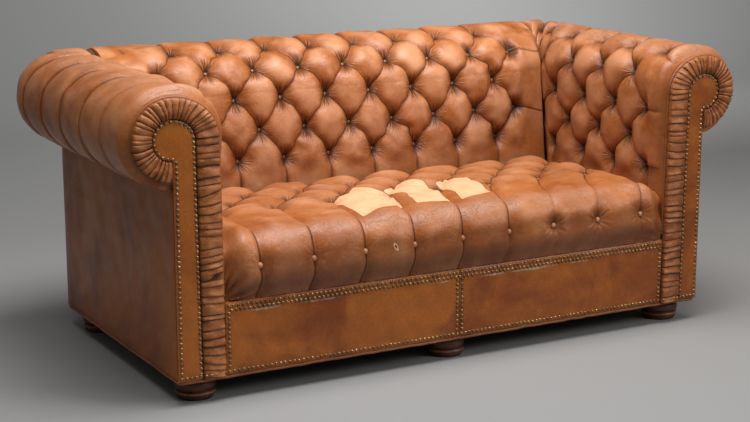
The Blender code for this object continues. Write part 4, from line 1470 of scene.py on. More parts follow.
@dataclass(frozen=True)
class SeatCover:
    """Seat: buttoned front, pleats over its edge, tufted top, worn and patched."""

    plan: Plan
    finishes: Finishes
    step: float = 0.0036
    front: float = -0.014
    edge_radius: float = 0.063
    front_pitch: float = 0.140
    top_pitch: float = 0.160
    first_column: float = -0.560
    top_first_column: float = -0.555
    button_rise: float = 0.084
    first_tuft: float = 0.245
    row_step: float = 0.092
    top: float = 0.398
    half_width: float = 0.640
    rear: float = 0.538
    corner_radius: float = 0.052
    corner_drop: float = 0.030
    tuck: float = 0.016
    bulge: float = 0.010
    gap: float = 0.0003
    soft_from: float = 0.20
    front_buttons: int = 9
    front_rise: float = 0.0012
    top_rise: float = -0.0026
    # How much less painted shade the front buttons get.
    pale: float = 0.42
    edge_limit: float = 0.16
    dent_radius: float = 0.022
    fan_reach: float = 0.020
    fan_width: float = 0.018
    stripes: float = 0.0034
    pinch_reach: float = 0.050
    pinch_width: float = 0.034
    tuck_run: float = 0.075
    top_margin: float = 0.03
    patches: tuple[tuple[tuple[float, float], ...], ...] = (
        (
            (-0.238, 0.240), (-0.110, 0.365), (-0.061, 0.255), (-0.110, 0.099), (-0.171, 0.093),
            (-0.250, 0.052), (-0.246, 0.110), (-0.234, 0.190),
        ),
        (
            (-0.068, 0.276), (0.051, 0.390), (0.081, 0.346), (0.064, 0.200), (0.025, 0.078), (-0.025, 0.093),
            (-0.069, 0.100), (-0.035, 0.212),
        ),
        (
            (0.100, 0.289), (0.174, 0.363), (0.224, 0.320), (0.210, 0.238), (0.164, 0.114), (0.058, 0.088),
            (0.089, 0.171),
        ),
    )
    tear: tuple[float, float] = (-0.196, 0.086)

    @property
    def lattice(self) -> Lattice:
        """The tufts of its top; the front's buttons are a row of their own.

        Returns:
            The lattice.
        """
        rows = tuple(row * self.row_step for row in range(4))
        return Lattice(
            self.top_pitch, rows, seed=47, depth=0.022, crease_rise=0.012, puff=0.017, pleat_depth=0.013,
            sag=0.0, pleat_fade=0.0, uneven=0.0011, laps_forward=False,
        )

    @property
    def straight(self) -> float:
        """Height of the upright part of the front."""
        return self.top - self.edge_radius - self.plan.seat_line

    @property
    def turn(self) -> float:
        """Length of the rounded edge."""
        return math.pi / 2.0 * self.edge_radius

    @property
    def first(self) -> float:
        """Length along the section of the first tuft row on the top."""
        return self.straight + self.turn + self.first_tuft - self.front - self.edge_radius

    def base(self, arc: Array) -> Array:
        """Depth and height of the bare section.

        Args:
            arc: lengths along the section.

        Returns:
            (..., 2) depth and height.
        """
        angle = np.clip((arc - self.straight) / self.edge_radius, 0.0, math.pi / 2.0)
        run = np.maximum(arc - self.straight - self.turn, 0.0)
        depth = self.front + self.edge_radius * (1.0 - np.cos(angle)) + run
        drop = (self.top - self.plan.seat_rear_top) * smooth(self.first_tuft, self.rear, depth)
        rise = np.minimum(arc, self.straight) + self.edge_radius * np.sin(angle)
        return np.stack([depth, self.plan.seat_line + rise - drop], axis=-1)

    def column(self, x: Array, arc: Array) -> Array:
        """Column of a place, counted from the first front button.

        Args:
            x: place across the sofa.
            arc: length along the section.

        Returns:
            The column, a whole number at a front button.
        """
        lean = np.clip((arc - self.button_rise) / (self.first - self.button_rise), 0.0, 1.0) ** 1.8
        pitch = self.front_pitch + (self.top_pitch - self.front_pitch) * lean
        start = self.first_column + (self.top_first_column - self.first_column) * lean
        low = np.clip(arc / self.button_rise, 0.0, 1.0)
        swing = 0.005 * np.sin(math.pi * low) - 0.006 * (1.0 - low) ** 3
        return (x - start - swing) / pitch

    def front_share(self, arc: Array) -> Array:
        """Share from 1 on the front to 0 at the first tuft row on the top."""
        return 1.0 - smooth(self.button_rise + 0.03, self.first, arc)

    def add_front(self, relief: Relief, x: Array, arc: Array, column: Array, soft: Array) -> None:
        """Draw the leather in at the front's buttons, with small folds round each.

        Args:
            relief: relief of the seat, which is changed.
            x: place across the sofa.
            arc: length along the section.
            column: column at each place.
            soft: 1 where the leather is slack.
        """
        beside, above = (column - np.round(column)) * self.front_pitch, arc - self.button_rise
        reach = np.hypot(above, beside)
        below = smooth(self.button_rise, self.button_rise - 0.05, arc)
        relief.height += below * 0.004 * (1.0 - relief.openness) * smooth(-0.2, 0.2, x)
        dent = np.exp(-(reach / self.dent_radius) ** 2)
        relief.height -= (0.001 + 0.008 * soft) * dent
        turn = np.arctan2(above, beside)
        phase = 6.283 * scatter(np.round(column), np.zeros_like(column), 3.0)
        fan = np.sin(11.0 * turn + phase) + 0.7 * np.sin(17.0 * turn - phase)
        ring = np.exp(-((reach - self.fan_reach) / self.fan_width) ** 2)
        relief.height += (0.0003 + 0.0006 * soft) * fan * ring
        # Painted shade in the dent round each front button.
        relief.openness = np.clip(relief.openness - 0.35 * dent, 0.0, 1.0)
        low_right = smooth(-0.02, 0.20, x) * smooth(self.button_rise, self.button_rise - 0.02, arc)
        relief.line = (1.0 - 0.9 * soft * self.front_share(arc)) * (1.0 - 0.9 * low_right)
        on_front = arc < self.edge_limit
        drawn = (0.12 + 0.60 * soft) * self.lattice.near_button(beside, above) * smooth(-0.03, 0.01, above)
        relief.across = np.where(on_front, beside, relief.across)
        relief.upward = np.where(on_front, above, relief.upward)
        relief.hold = np.where(on_front, drawn, relief.hold)

    def sink(self, relief: Relief, x: Array, arc: Array) -> Array:
        """Gather the lower corners and tuck the foot of the front in.

        Args:
            relief: relief of the seat, which is changed.
            x: place across the sofa.
            arc: length along the section.

        Returns:
            Distance of the leather from the bare section.
        """
        inset, on_left = self.half_width - np.abs(x), x < 0.0
        edge = 1.0 - smooth(0.0, self.corner_radius, inset)
        from_corner = np.hypot(inset + 0.012, arc + 0.004)
        bearing = np.arctan2(arc + 0.004, inset + 0.012)
        pinched = np.exp(-((from_corner - self.pinch_reach) / self.pinch_width) ** 2)
        pinched = pinched * np.where(on_left, 1.0, 0.5)
        stripe = np.sin(21.0 * bearing + 2.0 * np.sin(5.0 * bearing))
        relief.height = relief.height + self.stripes * stripe * pinched
        # Painted shade in the hollows between the gathers at the lower corners.
        relief.openness *= 1.0 - 0.85 * pinched * (0.5 - 0.5 * stripe)
        at_foot = np.where(on_left, 0.45, 0.15)
        drop = self.corner_drop * edge * (at_foot + (1.0 - at_foot) * smooth(0.0, self.button_rise, arc))
        sink = relief.height - drop - self.tuck * (1.0 - smooth(0.0, self.tuck_run, arc)) ** 1.4
        sink[:, 0] = np.minimum(sink[:, 0], -self.tuck)
        return sink

    def fields(self, relief: Relief, x: Array, arc: Array) -> dict[str, Array]:
        """Fields of the cover's finish, with its wear, bare places, tear and painted shade towards the foot
        of its front.

        Args:
            relief: relief of the seat.
            x: place across the sofa.
            arc: length along the section.

        Returns:
            The fields by name.
        """
        flat = np.column_stack([x.ravel(), self.base(arc)[..., 0].ravel()])
        patch = np.max([polygon_distance(flat, np.array(outline)) for outline in self.patches], axis=0)
        patch = np.where(arc > self.straight + 0.3 * self.turn, patch.reshape(x.shape), -1.0)
        over_edge = np.exp(-((arc - 0.17) / 0.060) ** 2)
        wear = 0.70 * over_edge * (0.70 + 0.30 * np.exp(-((x - 0.05) / 0.42) ** 2))
        wear += 0.42 * smooth(0.23, 0.40, arc)
        below_tear = arc - self.tear[1]
        nick = np.hypot(x - self.tear[0] + 0.4 * below_tear, 0.45 * below_tear)
        # Painted shade, darker towards the foot of the front.
        lower_shade = np.clip(0.9 * smooth(0.085, 0.0, arc) + 0.35 * smooth(0.14, 0.03, arc), 0.0, 1.0)
        fields = relief.fields(1, wear, patch)
        fields["tear"] = np.pad(np.maximum(1.0 - nick / 0.02, 0.0), ((0, 0), (0, 1)))
        fields["lower_shade"] = np.pad(lower_shade, ((0, 0), (0, 1)), mode="edge")
        return fields

    def build(self) -> None:
        """Make the cover and its buttons."""
        plan, lattice = self.plan, self.lattice
        total = self.straight + self.turn + self.rear - self.front - self.edge_radius
        arcs = np.linspace(self.gap, total, round(total / self.step) + 1)
        xs = np.linspace(-self.half_width, self.half_width, round(2.0 * self.half_width / self.step) + 1)
        x, arc = np.meshgrid(xs, arcs, indexing="ij")
        column = self.column(x, arc)
        soft = smooth(self.soft_from - 0.05, self.soft_from + 0.05, x) * (1.0 - 0.5 * smooth(0.47, 0.54, x))
        keep = 0.66 + 0.24 * smooth(0.5 * self.first, self.first, arc)
        keep = keep * (1.0 - soft * (0.25 + 0.5 * self.front_share(arc)))
        relief = lattice.relief(column, arc - self.first, False, keep)
        self.add_front(relief, x, arc, column, soft)
        sink = self.sink(relief, x, arc)

        along = self.base(arc + PROBE) - self.base(np.maximum(arc - PROBE, 0.0))
        along /= np.linalg.norm(along, axis=-1)[..., None]
        section = self.base(arc) + np.stack([-along[..., 1], along[..., 0]], axis=-1) * sink[..., None]
        section[:, 0, 1] = plan.seat_line + self.gap
        rim = smooth(0.54, self.half_width, np.abs(x)) * (1.0 - smooth(0.0, 0.055, section[..., 0]))
        wide = x + np.sign(x) * self.bulge * rim * (0.35 + 0.65 * smooth(0.0, 0.07, arc))
        grid = np.stack([wide, plan.y(section[..., 0]), section[..., 1]], axis=-1)
        foot = grid[:, -1:].copy()
        foot[..., 2] = plan.seat_line + self.gap
        points, faces = loft(grid, relief.height, foot, flip=True)
        piece = make_piece("seat_cover", points, faces, self.finishes.tufted, self.fields(relief, x, arc))
        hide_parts("seat_pad")

        firsts = self.first_column + np.arange(self.front_buttons) * self.front_pitch
        spots = [(x_first, self.button_rise) for x_first in firsts]
        for step, row in lattice.buttons(-0.5, 7.6, False):
            spot = self.top_first_column + step * self.top_pitch
            if abs(spot) < self.half_width - self.top_margin and row < 3.0:
                spots.append((spot, self.first + row * self.row_step))
        places, normals = surface_frames(grid, xs, arcs, spots, (0.0, -1.0, 1.0))
        on_front = np.arange(len(spots)) < self.front_buttons
        places = places + np.where(on_front, self.front_rise, self.top_rise)[:, None] * normals
        buttons = Buttons(radius=0.0076, height=0.0056)
        buttons.place("seat_buttons", places, normals, self.finishes.tufted, self.pale * on_front)


@dataclass(frozen=True)
class Panel:
    """Leather drawn over a flat board: its face is slightly pillowed and uneven."""

    outline: Array
    back: float
    face: float
    seed: int
    origin: tuple[float, float, float] = (0.0, Plan.front_y, 0.0)
    across: tuple[float, float, float] = (1.0, 0.0, 0.0)
    outward: tuple[float, float, float] = (0.0, -1.0, 0.0)
    spacing: float = 0.007
    rim: float = 0.004
    pillow: float = 0.0012
    uneven: float = 0.0006
    scuffs: tuple[tuple[float, float, float, float], ...] = ()
    snap: float = 1e-7

    def build(self, name: str, material: bpy.types.Material) -> bpy.types.Object:
        """Make the panel.

        Args:
            name: name of the piece.
            material: finish.

        Returns:
            The piece.
        """
        ring = resample(self.outline, self.spacing * 0.8, closed=True)
        low, high = ring.min(0), ring.max(0)
        us = np.arange(low[0] + 0.5 * self.spacing, high[0], self.spacing)
        vs = np.arange(low[1] + 0.5 * self.spacing, high[1], self.spacing)
        mesh_points = np.array(np.meshgrid(us, vs)).reshape(2, -1).T
        mesh_points = mesh_points[polygon_distance(mesh_points, ring) > 0.45 * self.spacing]
        everything = [*ring, *mesh_points]
        edges = [(i, (i + 1) % len(ring)) for i in range(len(ring))]
        cut = delaunay_2d_cdt([Vector(p) for p in everything], edges, [], 1, self.snap)
        flat = np.array([tuple(v) for v in cut[0]])
        triangles = [tuple(face) for face in cut[2]]
        gap = np.maximum(polygon_distance(flat, ring), 0.0)
        gap[: len(ring)] = 0.0
        round_edge = np.sqrt(np.clip(1.0 - (1.0 - np.clip(gap / self.rim, 0.0, 1.0)) ** 2, 0.0, 1.0))
        level = self.face - self.rim * 0.5 * (1.0 - round_edge) + self.pillow * smooth(0.0, 0.05, gap)
        level += self.uneven * ripple(self.seed, 0.30, 0.05, *flat.T) * smooth(0.0, 0.02, gap)
        axes = [np.array(axis, float) for axis in (self.across, (0.0, 0.0, 1.0), self.outward)]

        def place(flat_points: Array, levels: Array) -> Array:
            """Set flat points in space."""
            parts = (flat_points[:, :1], flat_points[:, 1:2], levels[:, None])
            return np.array(self.origin) + sum(part * axis for part, axis in zip(parts, axes))

        points = np.vstack([place(flat, level), place(ring, np.full(len(ring), self.back))])
        shift = len(flat)
        faces = triangles + [tuple(shift + i for i in reversed(range(len(ring))))]
        faces += [(i, shift + i, shift + (i + 1) % len(ring), (i + 1) % len(ring)) for i in range(len(ring))]
        if np.dot(np.cross(axes[0], axes[1]), axes[2]) < 0.0:
            faces = [tuple(reversed(face)) for face in faces]
        around = np.vstack([flat, ring])
        scuff = np.zeros(len(around))
        for u, v, wide, high in self.scuffs:
            beside, above = (around[:, 0] - u) / wide, (around[:, 1] - v) / high
            scuff = np.maximum(scuff, np.exp(-beside ** 2 - above ** 2))
        return make_piece(name, points, faces, material, {"scuff": scuff}, sharp=SHARP_PANEL)


@dataclass(frozen=True)
class ArmFront:
    """Front of one arm: plain panel, ruched band and piping, with the outline that the nails follow."""

    plan: Plan
    finishes: Finishes
    side: Side
    band_round: float = 0.050
    band_stem: float = 0.061
    board_front: float = 0.0030
    panel_front: float = -0.0020
    crown: float = 0.0125
    band_step: float = 0.0014
    stem_fold: float = 0.0200
    round_fold: float = 0.0120
    fold_depth: float = 0.0048
    closing: float = 0.0002
    band_points: int = 400
    points_across: int = 25
    turn_run: float = 0.04
    knots: int = 60
    jitter: float = 0.28
    width: float = 0.05
    lean: float = 0.16
    steep_side: float = 0.07
    gentle_side: float = 0.28
    uneven: float = 0.0008
    seed: int = 90
    panel_seed: int = 60
    piping_radius: float = 0.0038
    piping_depth: float = 0.0075
    piping_step: float = 0.006
    gap: float = 0.0003

    def outline(self, round_inset: float, stem_inset: float, steps: int) -> Array:
        """Outline of the front from the inner foot over the scroll, moved inwards.

        Args:
            round_inset: distance from the outline round the scroll.
            stem_inset: distance from the stem's inner edge.
            steps: points round the scroll.

        Returns:
            (n, 2) places across and up.
        """
        plan = self.plan
        crown = plan.scroll_radius - round_inset
        reach = plan.arm_roll_x - plan.facing_inner_x - stem_inset
        share = np.linspace(0.0, 1.0, 40)
        stem_x = plan.facing_foot_x + stem_inset + (plan.facing_inner_x - plan.facing_foot_x) * share
        stem_z = plan.base_bottom + (plan.roll_height - plan.base_bottom) * share
        turn = math.pi * 1.5 * np.arange(1, steps + 1) / steps
        span = np.where(turn < math.pi / 2.0, reach, crown)
        round_x = plan.arm_roll_x - span * np.cos(turn)
        round_z = plan.roll_height + crown * np.sin(turn)
        return np.column_stack([np.concatenate([stem_x, round_x]), np.concatenate([stem_z, round_z])])

    def build(self) -> None:
        """Make the front's pieces."""
        self.build_panel()
        self.build_band()
        self.build_piping()

    def build_panel(self) -> None:
        """Make the plain panel between the nails."""
        plan = self.plan
        inner = self.outline(self.band_round + self.gap, self.band_stem + self.gap, 60)
        joint = plan.roll_height - plan.scroll_radius
        rest = [
            (plan.arm_roll_x - self.gap, joint), (plan.half_width, joint - 0.003),
            (plan.half_width, plan.base_bottom),
        ]
        outline = np.vstack([inner, rest])
        outline[:, 0] *= self.side.value
        panel = Panel(
            outline, -self.board_front + self.gap, -self.panel_front, self.panel_seed + self.side.value,
            pillow=0.0022, uneven=0.0005, spacing=0.006,
        )
        piece = panel.build(f"{self.side.label}_front_panel", self.finishes.plain)
        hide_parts(f"{self.side.label}_facing_panel")

    def build_band(self) -> None:
        """Make the gathered band, with its folds across it."""
        plan = self.plan
        edge = self.outline(self.gap, self.gap, self.band_points)
        core = self.outline(self.band_round, self.band_stem, self.band_points)
        middle = (edge + core) / 2.0
        lengths = np.concatenate([[0.0], np.cumsum(np.linalg.norm(np.diff(middle, axis=0), axis=1))])
        marks = np.linspace(0.0, lengths[-1], round(lengths[-1] / self.band_step) + 1)
        edge = np.column_stack([np.interp(marks, lengths, edge[:, i]) for i in range(2)])
        core = np.column_stack([np.interp(marks, lengths, core[:, i]) for i in range(2)])
        stem = plan.roll_height - plan.base_bottom
        around = smooth(stem - self.turn_run, stem + self.turn_run, marks)
        rng = np.random.default_rng(self.seed + self.side.value)
        pitch = self.stem_fold + (self.round_fold - self.stem_fold) * around
        knots = np.linspace(0.0, lengths[-1], self.knots)
        jitter = np.interp(marks, knots, rng.normal(0.0, self.jitter, self.knots))
        count = np.cumsum(np.gradient(marks) / pitch) + jitter
        s, t = np.meshgrid(marks, np.linspace(0.0, 1.0, self.points_across), indexing="ij")
        across = t * self.width
        lean = self.lean * ripple(self.seed + 5 + self.side.value, 0.30, 0.12, s, across)
        phase = count[:, None] + lean * (t - 0.5) * 2.0
        cell = np.floor(phase)
        f = phase - cell
        strength = 0.55 + 0.9 * scatter(cell, np.zeros_like(cell), 7.0)
        wall = (1.0 - np.exp(-f / self.steep_side)) * (1.0 - np.exp(-(1.0 - f) / self.gentle_side)) / 0.93
        gather = strength * (wall - 1.0)
        depth_share = 0.75 + 0.25 * np.cos(2.0 * math.pi * t) * around[:, None]
        arch = np.clip(1.0 - np.abs(2.0 * t - 1.0) ** 3.2, 0.0, 1.0) ** 0.6
        rise = self.crown * (0.42 + 0.58 * arch) + self.fold_depth * gather * depth_share
        rise += self.uneven * ripple(self.seed + 9, 0.06, 0.02, s, across)
        rise[:, 0] = rise[:, -1] = 0.0
        rise = np.maximum(rise, 0.0)
        x = edge[:, None, 0] + (core - edge)[:, None, 0] * t
        z = edge[:, None, 1] + (core - edge)[:, None, 1] * t
        back = self.board_front - self.gap
        grid = np.stack([self.side.value * x, plan.y(back - rise), z], axis=-1)
        under = grid[:, [-1, 0]].copy()
        under[..., 1] = plan.y(back + self.closing)
        # Painted shade in the band's folds and towards its inner edge by the nails, and a painted highlight
        # on its arch; line sets the painted shade along each fold.
        openness = np.clip(1.0 + 0.85 * gather, 0.0, 1.0) * np.clip(0.35 + arch, 0.0, 1.0)
        openness *= 1.0 - 0.55 * smooth(0.50, 0.92, t)
        points, faces = loft(grid, -gather, under, flip=self.side is Side.LEFT)
        away, line = np.full_like(phase, 0.5), 0.50 * np.clip(strength, 0.0, 1.0)
        fields = Relief(rise, rise, openness, phase, away, line).fields(under.shape[1])
        piece = make_piece(f"{self.side.label}_scroll_band", points, faces, self.finishes.ruched, fields)
        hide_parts(f"{self.side.label}_ruched_band")

    def build_piping(self) -> None:
        """Make the piping on the seam between band and roll."""
        plan = self.plan
        line = self.outline(0.0, 0.0, 120)
        line = line[line[:, 1] > plan.seat_line + self.piping_radius]
        line = resample(line, self.piping_step)
        depth = np.full(len(line), plan.y(self.piping_depth))
        path = np.column_stack([self.side.value * line[:, 0], depth, line[:, 1]])
        points, faces = tube(path, self.piping_radius)
        piece = make_piece(f"{self.side.label}_roll_piping", points, faces, self.finishes.piping)
        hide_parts(f"{self.side.label}_arm_piping")


@dataclass(frozen=True)
class Base:
    """Front rail's panels, outside arms, outside back and the welt round the bottom."""

    plan: Plan
    finishes: Finishes
    skin: float = 0.005
    apron_back: float = 0.0127
    side_start: float = 0.0126
    welt_radius: float = 0.0040
    welt_corner: float = 0.006
    welt_wave: float = 0.0005
    welt_step: float = 0.010
    seed: int = 71
    gap: float = 0.0003
    scuffs: tuple[tuple[float, float, float, float], ...] = (
        (-0.55, 0.0245, 0.070, 0.0036), (-0.40, 0.0240, 0.090, 0.0030), (-0.05, 0.0240, 0.030, 0.0030),
        (0.10, 0.0245, 0.050, 0.0034), (0.22, 0.0250, 0.090, 0.0044), (0.36, 0.0240, 0.060, 0.0032),
    )

    @property
    def roll_bottom(self) -> float:
        """Height at which the outside leathers end under the rolls."""
        return self.plan.roll_height - self.plan.roll_radius - self.gap

    def rectangle(self, left: float, right: float, bottom: float, top: float) -> Array:
        """Corners of an upright rectangle."""
        return np.array([(left, bottom), (right, bottom), (right, top), (left, top)])

    def build(self) -> None:
        """Make the base's pieces."""
        for side in Side:
            self.build_side(side)
        plan = self.plan
        half = plan.half_width - self.skin - self.gap
        panel = Panel(
            self.rectangle(-half, half, plan.base_bottom, self.roll_bottom), -self.skin, 0.0, self.seed + 8,
            (0.0, plan.y(plan.depth), 0.0), outward=(0.0, 1.0, 0.0),
            spacing=0.014, uneven=0.0010, pillow=0.0015,
        )
        piece = panel.build("outside_back_leather", self.finishes.plain)
        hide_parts("outside_back")
        self.build_welt()

    def build_side(self, side: Side) -> None:
        """Make one half of the rail's leather and one outside arm.

        Args:
            side: side of the sofa.
        """
        plan = self.plan
        low, high = sorted((side.value * self.gap, side.value * (plan.facing_foot_x - self.gap)))
        marks = [mark for mark in self.scuffs if mark[0] * side.value > 0.0]
        scuffs = tuple((u, plan.seat_line - drop, wide, tall) for u, drop, wide, tall in marks)
        panel = Panel(
            self.rectangle(low, high, plan.base_bottom, plan.seat_line), -self.apron_back, 0.0,
            self.seed + side.value, uneven=0.0007, scuffs=scuffs,
        )
        piece = panel.build(f"{side.label}_rail_panel", self.finishes.plain)
        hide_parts(f"{side.label}_apron_panel")

        panel = Panel(
            self.rectangle(plan.y(self.side_start), plan.y(plan.depth), plan.base_bottom, self.roll_bottom),
            plan.half_width - self.skin, plan.half_width, self.seed + 4 + side.value, (0.0, 0.0, 0.0),
            (0.0, 1.0, 0.0), (side.value, 0.0, 0.0), spacing=0.012, uneven=0.0009, pillow=0.0015,
        )
        piece = panel.build(f"{side.label}_outside_arm_leather", self.finishes.plain)
        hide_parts(f"{side.label}_outside_arm")

    def build_welt(self) -> None:
        """Make the welt round the bottom edge."""
        plan = self.plan
        ring_x = plan.half_width - self.welt_radius
        near, far = plan.y(self.welt_radius), plan.y(plan.depth - self.welt_radius)
        cut = self.welt_corner
        corners = [
            (-ring_x, near + cut), (-ring_x + cut, near), (ring_x - cut, near), (ring_x, near + cut),
            (ring_x, far - cut), (ring_x - cut, far), (-ring_x + cut, far), (-ring_x, far - cut),
        ]
        line = resample(np.array(corners), self.welt_step, closed=True)
        height = plan.base_bottom - self.gap - self.welt_radius
        wave = self.welt_wave * ripple(self.seed + 12, 0.12, 0.03, *line.T)
        path = np.column_stack([line, height + wave])
        points, faces = tube(path, self.welt_radius, closed=True)
        piece = make_piece("bottom_edge_welt", points, faces, self.finishes.piping)
        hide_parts("bottom_welt")


@dataclass(frozen=True)
class Nails:
    """Brass nails in close rows along the front's edges."""

    plan: Plan
    finishes: Finishes
    pitch: float = 0.0122
    radius: float = 0.0043
    height: float = 0.0030
    inset: float = 0.0078
    second_row: float = 0.0105
    middle: float = 0.0072
    beside_band: float = 0.0045
    stray: float = 0.0003
    tilt: float = 0.02
    sides: int = 12
    rings: int = 3
    seed: int = 101

    def row(self, line: list[tuple[float, float]] | Array, level: float) -> Array:
        """Places of nails along a line on the front.

        Args:
            line: corners across and up.
            level: how far the leather stands in front of the front plane.

        Returns:
            (n, 3) places.
        """
        flat = resample(np.array(line, float), self.pitch)
        return np.column_stack([flat[:, 0], np.full(len(flat), self.plan.front_y - level), flat[:, 1]])

    def build(self) -> None:
        """Set the nails of the rail and of both arms."""
        plan = self.plan
        bottom, top = plan.base_bottom + self.inset, plan.seat_line - self.inset
        seam = plan.facing_foot_x - self.inset - 0.001
        second, inner = top - self.second_row, seam - self.pitch / 2
        rail = [
            self.row([(-seam, bottom), (seam, bottom)], 0.0),
            self.row([(-seam, top), (seam, top)], 0.0005),
            self.row([(-inner, second), (inner, second)], 0.0010),
        ]
        for x in (-seam, -self.middle, self.middle, seam):
            rail.append(self.row([(x, bottom + self.pitch), (x, top - 0.018)], 0.0005))
        self.place("rail_nails", rail)
        for side in Side:
            front = ArmFront(plan, self.finishes, side)
            edge = front.outline(front.band_round + self.beside_band, front.band_stem + self.beside_band, 80)
            edge = edge[edge[:, 1] > bottom]
            outer, (last_x, last_z) = plan.half_width - self.inset, edge[-1]
            line = np.vstack([edge, [(last_x - 0.004, last_z), (outer, last_z - 0.010), (outer, bottom)]])
            foot = [(plan.facing_foot_x + 0.006, bottom), (outer - self.pitch, bottom)]
            rows = [self.row(line, 0.0020), self.row(foot, 0.0030)]
            for row in rows:
                row[:, 0] *= side.value
            rows[1][:, 1] -= 0.004 * (np.abs(rows[1][:, 0]) < plan.facing_foot_x + front.band_stem)
            self.place(f"{side.label}_arm_nails", rows)

    def place(self, name: str, rows: list[Array]) -> None:
        """Drive nails at the given places, none of them quite straight.

        Args:
            name: name of the piece.
            rows: places of the nails, row by row.
        """
        places = np.vstack(rows)
        rng = np.random.default_rng(self.seed)
        places[:, [0, 2]] += rng.normal(0.0, self.stray, (len(places), 2))
        tilt = rng.normal(0.0, self.tilt, (len(places), 2))
        normals = np.column_stack([tilt[:, 0], -np.ones(len(places)), tilt[:, 1]])
        points, faces, _ = domes(places, normals, self.radius, self.height, self.sides, self.rings)
        make_piece(name, points, faces, self.finishes.brass)


@dataclass(frozen=True)
class Feet:
    """Turned bun feet."""

    plan: Plan
    finishes: Finishes
    profile: tuple[tuple[float, float], ...] = (
        (0.036, 1.0), (0.0385, 0.96), (0.0395, 0.90), (0.0440, 0.84), (0.0480, 0.74), (0.0500, 0.62),
        (0.0502, 0.52), (0.0488, 0.44), (0.0462, 0.375), (0.0455, 0.355), (0.0475, 0.335), (0.0490, 0.30),
        (0.0492, 0.25), (0.0480, 0.205), (0.0462, 0.185), (0.0466, 0.15), (0.0452, 0.07), (0.0425, 0.0),
    )
    steps: int = 48

    def build(self) -> None:
        """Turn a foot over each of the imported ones."""
        for row in ("front", "rear"):
            for place in ("left", "middle", "right"):
                node = f"{row}_{place}_foot"
                low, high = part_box(node)
                self.turn(node, (low + high) / 2.0, high.z)

    def turn(self, node: str, centre: Vector, height: float) -> None:
        """Make one foot.

        Args:
            node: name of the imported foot.
            centre: centre of its box.
            height: height of its top.
        """
        rim = self.profile
        turns = np.arange(self.steps) * 2.0 * math.pi / self.steps
        points = np.array([
            (centre.x + radius * math.cos(turn), centre.y + radius * math.sin(turn), share * height)
            for radius, share in rim for turn in turns
        ])
        faces = sleeve(np.arange(len(points)).reshape(len(rim), self.steps))
        share = np.repeat([share for _, share in rim], self.steps)
        # rim peaks on the bead, where the finish paints a highlight together with scuff wear.
        fields = {"rim": np.exp(-((share - 0.27) / 0.06) ** 2) * 0.8 + 0.15}
        name = node.replace("_foot", "_bun_foot")
        piece = make_piece(name, points, faces, self.finishes.foot, fields, sharp=SHARP_FOOT)
        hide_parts(node)


@dataclass(frozen=True)
class Carcass:
    """Timber frame, springs and dust cover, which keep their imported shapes."""

    finishes: Finishes

    def build(self) -> None:
        """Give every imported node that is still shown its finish."""
        dressing = {"spring": self.finishes.steel, "dust_cover": self.finishes.cambric}
        for name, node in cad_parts.items():
            if node.hide_render:
                continue
            chosen = next((finish for word, finish in dressing.items() if word in name), self.finishes.timber)
            node.data.materials.clear()
            node.data.materials.append(chosen)


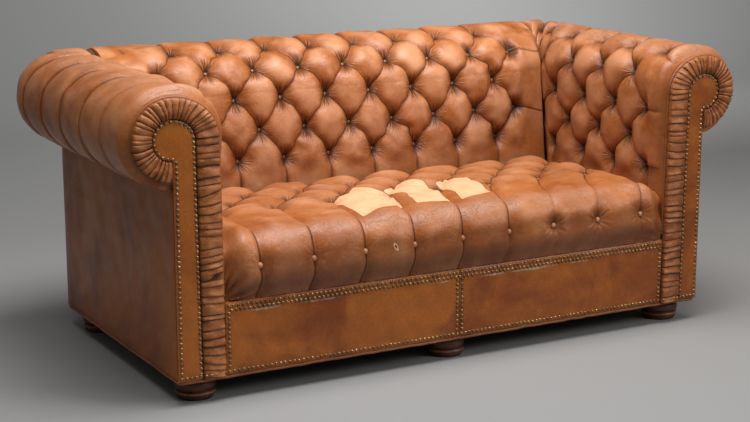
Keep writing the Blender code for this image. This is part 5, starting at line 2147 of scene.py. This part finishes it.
@dataclass(frozen=True)
class Studio:
    """Pale sweep of paper, soft lights and the camera."""

    camera_place: tuple[float, float, float] = (-2.18071, -3.88306, 1.29503)
    yaw: float = 29.30
    pitch: float = 12.54
    lens: float = 79.9
    floor_half: float = 9.0
    cove_start: float = 3.2
    cove_radius: float = 2.5
    cove_turn: float = 0.8
    cove_steps: int = 16
    sensor: float = 36.0
    air: Colour = (0.86, 0.83, 0.80, 1.0)
    air_strength: float = 0.17

    def build(self) -> None:
        """Make the floor, the lights and the camera."""
        self.build_sweep()
        self.add_light("overhead", (0.2, -0.6, 3.1), (0.0, -0.1, 0.4), 1.9, 122.0)
        self.add_light("front_right", (2.9, -3.6, 2.6), (0.0, 0.0, 0.4), 1.5, 84.0)
        self.add_light("top_left", (-1.3, -0.9, 2.9), (-0.9, -0.1, 0.6), 1.2, 31.0)
        self.add_light("backdrop", (2.8, 2.2, 2.6), (2.8, 5.0, 1.8), 1.5, 100.0)
        world = bpy.data.worlds.new("studio_air")
        world.use_nodes = True
        air = world.node_tree.nodes["Background"].inputs
        air["Color"].default_value = self.air
        air["Strength"].default_value = self.air_strength
        bpy.context.scene.world = world
        bpy.context.scene.view_settings.view_transform = "Standard"
        data = bpy.data.cameras.new("camera")
        data.lens = self.lens
        data.sensor_width = self.sensor
        data.clip_end = 60.0
        camera = bpy.data.objects.new("camera", data)
        camera.location = self.camera_place
        camera.rotation_euler = (math.radians(90.0 - self.pitch), 0.0, math.radians(-self.yaw))
        bpy.context.scene.collection.objects.link(camera)
        bpy.context.scene.camera = camera

    def build_sweep(self) -> None:
        """Make the floor and the backdrop as one curved sheet."""
        turn = np.linspace(0.0, self.cove_turn, self.cove_steps)
        start, radius = self.cove_start, self.cove_radius
        profile = [(-self.floor_half, 0.0)]
        profile += [(start + radius * math.sin(t), radius * (1.0 - math.cos(t))) for t in turn]
        xs = np.linspace(-self.floor_half, self.floor_half, 9)
        points = [(x, y, z) for x in xs for y, z in profile]
        count = len(profile)
        faces = [
            (i * count + j, (i + 1) * count + j, (i + 1) * count + j + 1, i * count + j + 1)
            for i in range(len(xs) - 1) for j in range(count - 1)
        ]
        mesh = bpy.data.meshes.new("sweep")
        mesh.from_pydata(points, [], faces)
        mesh.shade_smooth()
        graph = Graph("grey_paper")
        parts = graph.node("ShaderNodeSeparateXYZ", {}, {0: graph.place}).outputs
        across, depth = Value(graph, parts["X"]), Value(graph, parts["Y"])
        # Painted shade at the near right, where the lamps fall hot, and painted light on the far right of the
        # wall, which they hardly reach.
        painted_shade_near_right = across.eased(-1.6, 1.6) * (1.0 - depth.eased(0.6, 3.0))
        wall = depth.eased(3.0, 4.6) * across.eased(0.5, 3.5)
        colour = graph.blend(tone(138, 138, 138), tone(128, 126, 124), painted_shade_near_right)
        colour = graph.blend(colour, tone(168, 168, 168), wall)
        colour = graph.blend(colour, tone(140, 139, 138), graph.noise(0.8) * 0.3)
        mesh.materials.append(graph.finish(colour, 0.85))
        sweep = bpy.data.objects.new("sweep", mesh)
        bpy.context.scene.collection.objects.link(sweep)

    def add_light(self, name: str, place: tuple, target: tuple, size: float, power: float) -> None:
        """Add a square soft light.

        Args:
            name: name of the light.
            place: where it stands.
            target: where it points.
            size: its side.
            power: its power in watts.
        """
        data = bpy.data.lights.new(name, "AREA")
        data.shape = "SQUARE"
        data.size = size
        data.energy = power
        lamp = bpy.data.objects.new(name, data)
        lamp.location = place
        lamp.rotation_euler = (Vector(target) - Vector(place)).to_track_quat("-Z", "Y").to_euler()
        bpy.context.scene.collection.objects.link(lamp)


def main() -> None:
    """Build the sofa's looks piece by piece."""
    logging.basicConfig(level=logging.INFO, format="%(name)s %(message)s")
    plan = Plan()
    finishes = Finishes.make()
    BackCover(plan, finishes).build()
    for side in Side:
        ArmCover(plan, finishes, side).build()
        ArmFront(plan, finishes, side).build()
    SeatCover(plan, finishes).build()
    Base(plan, finishes).build()
    Nails(plan, finishes).build()
    Feet(plan, finishes).build()
    Carcass(finishes).build()
    Studio().build()


if __name__ == "__main__":
    main()
